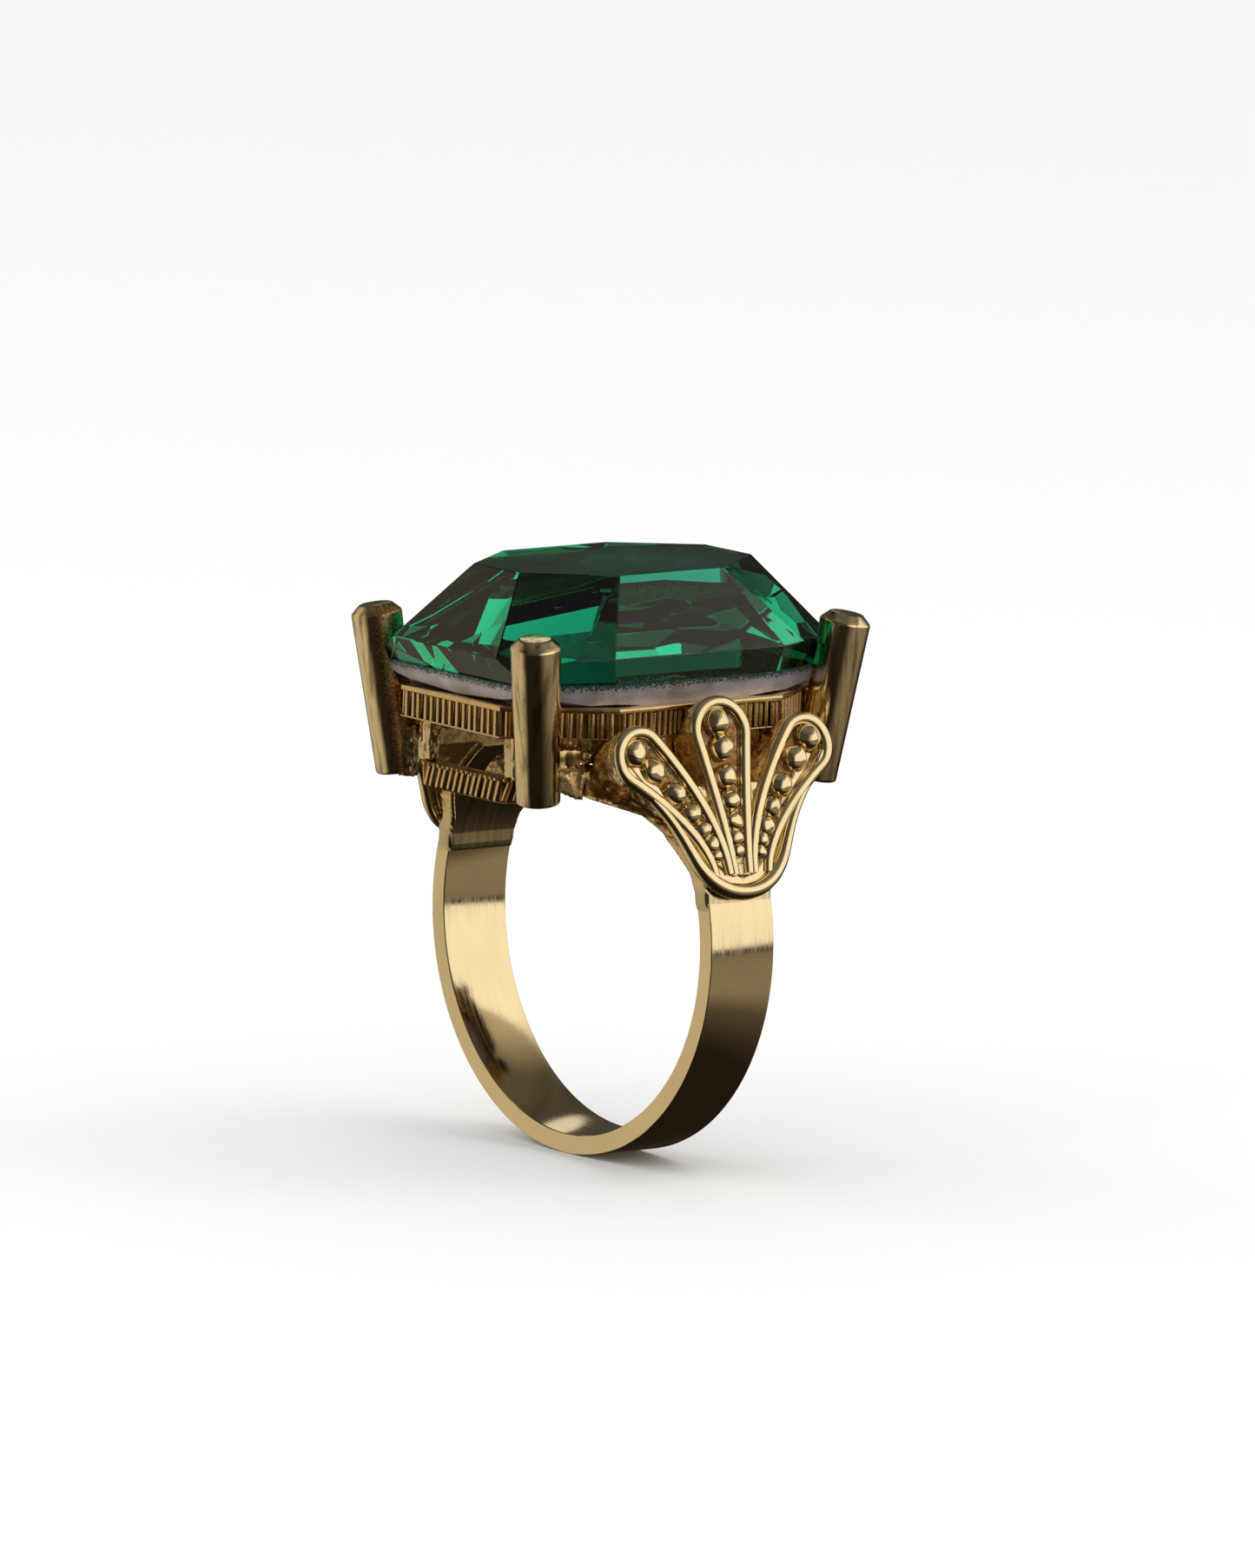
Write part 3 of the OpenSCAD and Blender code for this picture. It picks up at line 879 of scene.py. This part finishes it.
class RING_OT_fan_plates(bpy.types.Operator):
    """Sinks the three lobes into each palmette plate and roughens the ground round them"""

    bl_idname = "ring.fan_plates"
    bl_label = "Palmette plates"

    def execute(self, context):
        depth = context.scene.ring_sizes.cast_depth / MM
        piece = recast(node_copy("right_fan_plate", "gold_right_fan_plate"), 0.1)
        skin = cast_skin(depth * 0.8, 0.3, offset=3.0)
        plate_back, sink = -0.12, 0.13

        def depth_at(point, normal):
            flat = OFF_FAN @ point
            rough = skin(point, normal)
            if flat.z < plate_back:
                return rough
            inside = lobe_depth(flat.x, flat.y)
            if inside > RIM_W:
                return -sink * fade(inside - RIM_W, 0.25) + 0.35 * rough
            return rough

        work_skin(piece, depth_at)
        finish_both(piece, lobe_gold())
        return {"FINISHED"}


class RING_OT_fan_borders(bpy.types.Operator):
    """Bends the thick polished border round the foot of each palmette, over a flat strap"""

    bl_idname = "ring.fan_borders"
    bl_label = "Palmette borders"

    def execute(self, context):
        # right half of its line, from the upper end to the foot
        half = [Vector(p) for p in (
            (5.3, 6.1), (4.75, 5.3), (4.0, 4.5), (3.43, 3.8), (3.0, 3.1), (2.62, 2.35),
            (2.28, 1.65), (1.8, 1.05), (1.2, 0.62), (0.6, 0.42))]
        inward = 0.42
        path = half + [Vector((0, 0.36))] + [Vector((-p.x, p.y)) for p in half[::-1]]
        outer = wire("gold_right_fan_border", path, 0.37, 0.06, 0.4, 1.1, 9)
        strap_path = [Vector((p.x - inward * (p.x > 0.5) + inward * (p.x < -0.5), p.y + 0.3)) for p in path]
        strap = wire("strap", strap_path, 0.5, -0.13, 0.5, 0.4, 9)
        outer = join("gold_right_fan_border", [outer, strap])
        outer.data.transform(ON_FAN)
        finish_both(outer, polished_gold(), 60)
        return {"FINISHED"}


class RING_OT_lobe_rims(bpy.types.Operator):
    """Lays a wire round each lobe, with a finer one inside it"""

    bl_idname = "ring.lobe_rims"
    bl_label = "Lobe rims"

    def execute(self, context):
        radius = context.scene.ring_sizes.wire_radius / MM
        for name, side in LOBES.items():
            outer = wire("rim", lobe_points(side, -0.12), radius, 0.07, 0.75, 0.85)
            inner = wire("rim_line", lobe_points(side, -0.36, 0.35), radius * 0.3, -0.02, 0.5)
            piece = join(f"gold_right_{name}_rim", [outer, inner])
            piece.data.transform(ON_FAN)
            finish_both(piece, polished_gold(), 60)
        return {"FINISHED"}


def grain_t(i):
    """Where along its lobe grain i sits; 0 is in the head."""
    return 1.12 - 0.24 * i + 0.0135 * i * i


def grain_at(side, i):
    """Place of grain i; the first one sits beyond the end of the middle line, in the round of the head."""
    t = grain_t(i)
    if t <= 1:
        return axis_point(side, t)
    return axis_point(side, 1) + run_dir(side, 1) * (t - 1) * (LOBE_HEAD_R[side] - RIM_W) * 3.2


class RING_OT_lobe_grains(bpy.types.Operator):
    """Sets the graded row of grains in each lobe, the largest in its head"""

    bl_idname = "ring.lobe_grains"
    bl_label = "Lobe grains"

    def execute(self, context):
        for name, side in LOBES.items():
            grains = []
            for i in range(GRAINS):
                room = (grain_at(side, i) - grain_at(side, i + 1)).length + 0.03 * i
                width = lobe_r(side, min(grain_t(i), 1)) - 0.55 * RIM_W
                radius = min(0.64 - 0.04 * i, 0.66 * room, width)
                at = grain_at(side, i)
                grains.append(grain("grain", radius, (at.x, at.y, -0.06), 0.85, 3 * i + side))
            piece = join(f"gold_right_{name}_grains", grains)
            piece.data.transform(ON_FAN)
            finish_both(piece, polished_gold(), 70)
        return {"FINISHED"}


def reed(width, height, sides=10):
    """One upright reed, a half-round bar with drawn-in ends, standing at the origin and facing +X."""
    bpy.ops.mesh.primitive_cylinder_add(vertices=sides, radius=width / 2, depth=height, location=(0, 0, 0))
    piece = settle(bpy.context.object, "reed")
    with editing(piece, "FACE"):
        pick_faces(piece, lambda c, n: abs(n.z) > 0.9)
        bpy.ops.mesh.inset(thickness=width * 0.16)
    saw(piece, (-width * 0.3, 0, 0), (-1, 0, 0))
    return piece


def reed_row(o, face, z0, z1, pitch, proud, tilt=0.0, uneven=0.0, margin=0.15):
    """A row of reeds along one face of an octagon, each with its own width and set."""
    corners = octagon(o)
    start, end = corners[face], corners[(face + 1) % 8]
    run = (end - start).normalized()
    out = Vector((run.y, -run.x))
    length = (end - start).length - 2 * margin
    count = max(1, round(length / pitch))
    model = reed(pitch * 0.86, z1 - z0)
    reeds = []
    for i in range(count):
        along = margin + length * (i + 0.5) / count + pitch * uneven * (DICE.random() - 0.5)
        sink = proud * uneven * DICE.random()
        at = start + run * along + out * (proud - pitch * 0.43 - sink)
        size = Matrix.Diagonal((1, 1 - uneven * 0.4 * DICE.random(), 1 - 0.3 * uneven * DICE.random(), 1))
        turn = Matrix.Rotation(math.atan2(out.y, out.x), 4, "Z") @ Matrix.Rotation(tilt, 4, "X")
        move = Matrix.Translation((at.x, at.y, (z0 + z1) / 2))
        reeds.append(copy_piece(model, "reed", move @ turn @ size))
    bpy.data.objects.remove(model)
    return reeds


# The attribute hollow where a rail is worn bright
WORN = -0.06


def mark_depth(piece, depth_at):
    """Keeps depth_at(point) as the attribute hollow without moving anything."""
    hollow = piece.data.attributes.new("hollow", "FLOAT", "POINT")
    hollow.data.foreach_set("value", [depth_at(v.co) for v in piece.data.vertices])


class RING_OT_upper_rail(bpy.types.Operator):
    """Builds the upper rail: a polished lip over a fluted frieze"""

    bl_idname = "ring.upper_rail"
    bl_label = "Upper rail"

    def execute(self, context):
        sizes = context.scene.ring_sizes
        lip_z, bead_z, frieze_depth = SEAT_Z - 0.24, RAIL_Z + 0.1, 0.14
        piece = octagon_ring("gold_upper_rail", RAIL, RAIL_T, RAIL_Z, SEAT_Z)
        for z in (lip_z, bead_z):
            score(piece, (0, 0, z), (0, 0, 1))
        outer = octagon_depth(RAIL)
        with editing(piece):
            pick_faces(piece, lambda c, n: bead_z < c.z < lip_z and outer(c) < 0.05)
            bpy.ops.mesh.inset(thickness=0.002, depth=-frieze_depth, use_boundary=True)
        break_edges(piece, 0.05, 2, 30)
        rows = []
        for face in range(8):
            long_side = face in (0, 4)
            pitch = (sizes.reed_pitch if long_side else sizes.flute_pitch) / MM
            uneven = 0.5 if long_side else 0.22
            rows += reed_row(RAIL, face, bead_z - 0.02, lip_z + 0.02, pitch, 0.015, 0.0, uneven)
        piece = join("gold_upper_rail", [piece] + rows)
        mark_depth(piece, lambda p: outer(p) - 0.07 if bead_z - 0.05 < p.z < lip_z - 0.02 else WORN)
        finish_piece(piece, "upper_rail", "root", reed_gold(), 50)
        return {"FINISHED"}


class RING_OT_lower_rails(bpy.types.Operator):
    """Builds the lower cross rails with slanted ribs and a beaded top edge"""

    bl_idname = "ring.lower_rails"
    bl_label = "Lower rails"

    def execute(self, context):
        pitch = context.scene.ring_sizes.rope_pitch / MM
        piece = octagon_ring("gold_front_lower_rail", LOW_RAIL, RAIL_T - 0.1, LOW_Z, LOW_TOP)
        saw(piece, (0, -SADDLE_HALF, 0), (0, 1, 0))
        outer = octagon_depth(LOW_RAIL)
        with editing(piece):
            pick_faces(piece, lambda c, n: abs(n.z) < 0.3 and outer(c) < 0.05)
            bpy.ops.mesh.inset(thickness=0.08, depth=-0.12, use_boundary=True)
        break_edges(piece, 0.04, 2, 30)
        rows, corners = [], octagon(LOW_RAIL)
        for face in (5, 6, 7):
            ribs = reed_row(LOW_RAIL, face, LOW_Z + 0.05, LOW_TOP - 0.08, pitch, 0.02,
                            math.radians(-17), 0.25)
            start, end = corners[face], corners[(face + 1) % 8]
            for i in range(int((end - start).length / (pitch * 0.8))):
                at = start + (end - start).normalized() * pitch * 0.8 * (i + 0.5)
                ribs.append(grain("bead", 0.13, (at.x * 0.99, at.y * 0.99, LOW_TOP - 0.06), 0.85, i))
            # what lies beyond the rail's sawn end goes
            for rib in ribs:
                middle = sum(v.co.y for v in rib.data.vertices) / len(rib.data.vertices)
                if middle > -SADDLE_HALF - 0.15:
                    bpy.data.objects.remove(rib)
                else:
                    rows.append(rib)
        piece = join("gold_front_lower_rail", [piece] + rows)
        mark_depth(piece, lambda p: outer(p) - 0.06 if p.z < LOW_TOP - 0.1 else WORN)
        finish_both(piece, reed_gold(), 50, ("front", "back"), (1, -1))
        return {"FINISHED"}


class RING_OT_side_walls(bpy.types.Operator):
    """Reeds the long side walls between the rails and fills the gaps at their ends"""

    bl_idname = "ring.side_walls"
    bl_label = "Side walls"

    def execute(self, context):
        depth = context.scene.ring_sizes.cast_depth / MM
        piece = node_copy("right_side_wall", "gold_right_side_wall")
        fills, back, front = [], 4.6, 5.7
        for y in (-1, 1):
            low, high = sorted((y * (SADDLE_HALF - 0.3), y * (SADDLE_HALF + 1.0)))
            fills.append(block("fill", (back, low, LOW_TOP + 0.75), (front, high, RAIL_Z - 0.35)))
        piece = recast(join("gold_right_side_wall", [piece] + fills), 0.1)
        columns = cast_skin(depth * 1.1, 0.36, (1, 1, 0.12), 5.0)
        skin = cast_skin(depth * 0.6, 0.3, offset=1.0)

        def depth_at(point, normal):
            rough = fade(math.hypot(point.x, point.z) - BORE_R - 0.3, ROUGH_OVER)
            if normal.x > 0.2:
                return rough * (columns(point, normal) + skin(point, normal))
            return rough * (0.3 * skin(point, normal))

        work_skin(piece, depth_at)
        finish_both(piece, cast_gold())
        return {"FINISHED"}


class RING_OT_ties(bpy.types.Operator):
    """Casts the gallery posts and the webs that tie the claws to the basket"""

    bl_idname = "ring.ties"
    bl_label = "Posts and webs"

    def execute(self, context):
        depth = context.scene.ring_sizes.cast_depth / MM
        for i, node in enumerate(("gallery_posts", "upper_claw_webs", "lower_claw_webs")):
            piece = recast(node_copy(node, "gold_" + node), 0.08)
            work_skin(piece, cast_skin(depth, 0.3, (1, 1, 0.5), i))
            finish_piece(piece, node, "root", cast_gold())
        return {"FINISHED"}


class RING_OT_corner_grains(bpy.types.Operator):
    """Solders the bright grains on the oblique corner walls"""

    bl_idname = "ring.corner_grains"
    bl_label = "Corner grains"

    def execute(self, context):
        corners = octagon(RAIL, 0.3)
        run = (corners[2] - corners[1]).normalized()
        length = (corners[2] - corners[1]).length
        grains = []
        radius, below_rail = 0.36, 0.75
        for x, y in CORNERS:
            for i, share in enumerate((0.26, 0.47)):
                at = corners[1] + run * length * share
                place = (x * at.x, y * at.y, RAIL_Z - below_rail)
                grains.append(grain("grain", radius, place, 0.92, i + 2 * x + y))
        piece = join("gold_corner_grains", grains)
        finish_piece(piece, "corner_grains", "root", polished_gold(), 70)
        return {"FINISHED"}


class RING_OT_claws(bpy.types.Operator):
    """Forges the four leaning claws and fits them to the stone"""

    bl_idname = "ring.claws"
    bl_label = "Claws"

    def execute(self, context):
        rise, collar, tip, tip_share = CLAW_TOP_Z - CLAW_FOOT_Z, 0.08, 0.38, 0.64
        bpy.ops.mesh.primitive_cone_add(vertices=64, radius1=CLAW_FOOT_R, radius2=CLAW_TIP_R,
                                        depth=rise, location=(0, 0, rise / 2))
        piece = settle(bpy.context.object, "claw")
        with editing(piece):
            pick_faces(piece, lambda c, n: n.z > 0.9)
            for step in (collar, tip):
                bpy.ops.mesh.extrude_region_move(TRANSFORM_OT_translate={"value": (0, 0, step)})
            bpy.ops.transform.resize(value=(tip_share, tip_share, 1), center_override=(0, 0, rise))
            pick_faces(piece, lambda c, n: n.z < -0.9)
            bpy.ops.mesh.inset(thickness=2 * collar)
            bpy.ops.transform.translate(value=(0, 0, -collar))
        break_edges(piece, 0.07, 3, 12)
        out = Vector((GIRDLE.cut_y, GIRDLE.cut_x, 0)).normalized()
        lean = Vector((CLAW_LEAN.x, CLAW_LEAN.y, 1)).normalized()
        tilt = Vector((0, 0, 1)).rotation_difference(lean).to_matrix().to_4x4()
        piece.data.transform(Matrix.Translation((CLAW_FOOT.x, CLAW_FOOT.y, CLAW_FOOT_Z)) @ tilt)
        carve(piece, cut_stone("stone_tool", 0.03, False))
        file = block("file", (-CLAW_FLAT - 3, -3, 0), (-CLAW_FLAT, 3, SEAT_Z + 0.02))
        file.data.transform(Matrix.Translation((CLAW_FOOT.x, CLAW_FOOT.y, 0)) @ Matrix.Rotation(
            math.atan2(out.y, out.x), 4, "Z"))
        carve(piece, file)
        mark_depth(piece, lambda p: -out.xy.dot(p.xy - CLAW_FOOT - CLAW_LEAN * (p.z - CLAW_FOOT_Z)))
        for name, x, y in (("back_right", 1, 1), ("back_left", -1, 1),
                           ("front_right", 1, -1), ("front_left", -1, -1)):
            made = copy_piece(piece, f"gold_{name}_claw", mirrored(x, y))
            finish_piece(made, name + "_claw", "root", claw_gold(), 30)
        bpy.data.objects.remove(piece)
        return {"FINISHED"}


class RING_OT_foil(bpy.types.Operator):
    """Paints the foil shell behind the stone"""

    bl_idname = "ring.foil"
    bl_label = "Foil backing"

    def execute(self, context):
        gap, paint, foil_rise = 0.02, 0.08, 1.0
        piece = cut_stone("silver_foil_backing", gap)
        with editing(piece):
            bpy.ops.mesh.bisect(plane_co=(0, 0, SEAT_Z + foil_rise), plane_no=(0, 0, 1), clear_outer=True,
                                threshold=ON_PLANE)
        shell = piece.modifiers.new("shell", "SOLIDIFY")
        shell.thickness, shell.offset, shell.use_even_offset = paint, 1.0, False
        apply_modifiers(piece)
        finish_piece(piece, "foil_backing", "root", foil_silver(), 20)
        return {"FINISHED"}


class RING_OT_stone(bpy.types.Operator):
    """Cuts and polishes the stone"""

    bl_idname = "ring.stone"
    bl_label = "Stone"

    def execute(self, context):
        piece = cut_stone("glass_stone")
        break_edges(piece, 0.035, 1, 8)
        finish_piece(piece, "stone", "root", green_glass(), 4)
        return {"FINISHED"}


class RING_OT_stage(bpy.types.Operator):
    """Lays the floor, hangs the light and stands the camera"""

    bl_idname = "ring.stage"
    bl_label = "Stage"

    def execute(self, context):
        settings = context.scene.ring_stage
        bpy.ops.mesh.primitive_plane_add(size=3, location=(0, 0, FLOOR_Z * MM))
        floor = settle(bpy.context.object, "floor")
        r = Recipe("floor_paper")
        r.set(base_color=r.mix(r.noise(0.8, 3), settings.floor, shade(settings.floor, 0.985)), roughness=0.9)
        floor.data.materials.append(r.material)
        floor.visible_glossy = False
        studio_world(settings.studio)
        studio_lamps()
        stand_camera()
        context.scene.view_settings.view_transform = "Standard"
        return {"FINISHED"}


# What metal and glass see, from straight down to straight up: share of the height, colour
STUDIO = (
    (0.0, (0.010, 0.008, 0.006)), (0.14, (0.02, 0.016, 0.012)), (0.25, (0.09, 0.075, 0.055)),
    (0.31, (0.26, 0.22, 0.17)), (0.40, (0.24, 0.205, 0.155)), (0.43, (0.20, 0.17, 0.13)),
    (0.438, (0.02, 0.015, 0.01)), (0.452, (0.02, 0.015, 0.01)), (0.458, (1.05, 1.0, 0.93)),
    (0.822, (1.08, 1.02, 0.93)), (0.834, (0.50, 0.43, 0.34)), (0.89, (0.42, 0.36, 0.28)),
    (0.92, (0.30, 0.28, 0.24)), (1.0, (0.5, 0.48, 0.44)))


def studio_world(strength):
    """White for the eye and the floor; for metal and glass a dark studio with cards in a few directions."""
    world = bpy.data.worlds.new("studio")
    bpy.context.scene.world = world
    world.use_nodes = True
    w = Wiring(world.node_tree)
    place = w.node("ShaderNodeTexCoord").outputs["Generated"]

    def towards(direction, start, full):
        """1 near a direction and 0 away from it, by the cosine of the angle."""
        dot = w.node("ShaderNodeVectorMath", operation="DOT_PRODUCT")
        w.put(dot.inputs[0], place)
        w.put(dot.inputs[1], Vector(direction).normalized())
        return w.span(dot.outputs["Value"], start, full, interpolation_type="SMOOTHSTEP")

    ramp = w.node("ShaderNodeValToRGB")
    w.put(ramp.inputs[0], w.plus(w.times(w.axes(place)[2], 0.5), 0.5))
    elements = ramp.color_ramp.elements
    while len(elements) < len(STUDIO):
        elements.new(0.5)
    for element, (at, colour) in zip(elements, STUDIO):
        element.position, element.color = at, colour + (1,)
    lit = 0.045
    for mask, weight in ((towards((0.75, 0.66, 0.1), 0.35, 0.85), 0.95),
                         (towards((-0.719, 0.529, 0.451), 0.986, 0.995), 0.7),
                         (towards((0.1, 0.1, 1), 0.6, 0.95), 0.25)):
        lit = w.plus(w.times(mask, weight), lit, clamp=True)
    room = w.mix(lit, (0.015, 0.011, 0.007), ramp.outputs[0])
    room = w.mix(towards((-0.8, -0.6, -0.1), 0.45, 0.85), room, (0.56, 0.49, 0.38))
    path = w.node("ShaderNodeLightPath")
    white = w.plus(path.outputs["Is Camera Ray"], path.outputs["Is Diffuse Ray"], clamp=True)
    background = w.node("ShaderNodeBackground")
    through = w.times(path.outputs["Is Transmission Ray"], 2.8 * strength)
    w.put(background.inputs["Strength"], w.plus(through, strength))
    w.put(background.inputs["Color"], w.mix(white, room, (1.05, 1.05, 1.05)))
    w.put(w.node("ShaderNodeOutputWorld").inputs["Surface"], background.outputs[0])


def lamp(name, place, size, power):
    """A warm card that lights the ring but isn't mirrored in it."""
    light = bpy.data.lights.new(name, "AREA")
    light.shape, (light.size, light.size_y) = "RECTANGLE", size
    light.energy, light.color = power, (1, 0.97, 0.92)
    made = bpy.data.objects.new(name, light)
    bpy.context.scene.collection.objects.link(made)
    made.location = place
    made.rotation_euler = (Vector((0, 0, 0.004)) - Vector(place)).to_track_quat("-Z", "Y").to_euler()
    made.visible_glossy = made.visible_transmission = False


def studio_lamps():
    """The lamps to the right, to the left and in front."""
    lamp("key_card", (0.10, 0.16, 0.26), (0.12, 0.12), 0.09)
    lamp("left_card", (-0.26, -0.12, 0.16), (0.06, 0.16), 0.05)
    lamp("front_strip", (0.05, -0.30, 0.22), (0.05, 0.05), 0.04)


def stand_camera():
    """The camera stands far off to the front and right, nine degrees up, with a slight roll."""
    around, up, roll = (math.radians(a) for a in (51.92, 8.895, 1.754))
    back = Vector((math.sin(around) * math.cos(up), -math.cos(around) * math.cos(up), math.sin(up)))
    level = Vector((math.cos(around), math.sin(around), 0))
    over = back.cross(level)
    right = level * math.cos(roll) + over * math.sin(roll)
    top = over * math.cos(roll) - level * math.sin(roll)
    aim_right, aim_up, distance = 1.113, 6.052, 900
    camera = bpy.data.cameras.new("camera")
    camera.sensor_fit, camera.sensor_height, camera.lens = "VERTICAL", 36, 479.2
    camera.clip_start, camera.clip_end = 0.01, 20
    made = bpy.data.objects.new("camera", camera)
    bpy.context.scene.collection.objects.link(made)
    place = (right * aim_right + top * aim_up + back * distance) * MM
    made.matrix_world = Matrix.Translation(place) @ Matrix((right, top, back)).transposed().to_4x4()
    bpy.context.scene.camera = made


# ---------------------------------------------------------------- the add-on

STEPS = (
    RING_OT_band, RING_OT_shoulders, RING_OT_fan_plates, RING_OT_fan_borders, RING_OT_lobe_rims,
    RING_OT_lobe_grains, RING_OT_upper_rail, RING_OT_lower_rails, RING_OT_side_walls, RING_OT_ties,
    RING_OT_corner_grains, RING_OT_claws, RING_OT_foil, RING_OT_stone, RING_OT_stage)


class RING_PT_panel(bpy.types.Panel):
    """Lists the ring's settings and its steps"""

    bl_idname = "RING_PT_panel"
    bl_label = "Cocktail ring"
    bl_space_type = "VIEW_3D"
    bl_region_type = "UI"
    bl_category = "Ring"

    def draw(self, context):
        scene = context.scene
        for settings in (scene.ring_sizes, scene.ring_finish, scene.ring_stage):
            box = self.layout.box()
            for name in settings.__annotations__:
                box.prop(settings, name)
        for step in STEPS:
            self.layout.operator(step.bl_idname)


CLASSES = (RingSizes, RingFinish, RingStage) + STEPS + (RING_PT_panel,)


def register():
    for cls in CLASSES:
        bpy.utils.register_class(cls)
    bpy.types.Scene.ring_sizes = bpy.props.PointerProperty(type=RingSizes)
    bpy.types.Scene.ring_finish = bpy.props.PointerProperty(type=RingFinish)
    bpy.types.Scene.ring_stage = bpy.props.PointerProperty(type=RingStage)


def unregister():
    for name in ("ring_stage", "ring_finish", "ring_sizes"):
        delattr(bpy.types.Scene, name)
    for cls in reversed(CLASSES):
        bpy.utils.unregister_class(cls)


def main():
    register()
    bpy.ops.object.select_all(action="DESELECT")
    for step in STEPS:
        group, name = step.bl_idname.split(".")
        getattr(getattr(bpy.ops, group), name)()


if __name__ == "__main__":
    main()
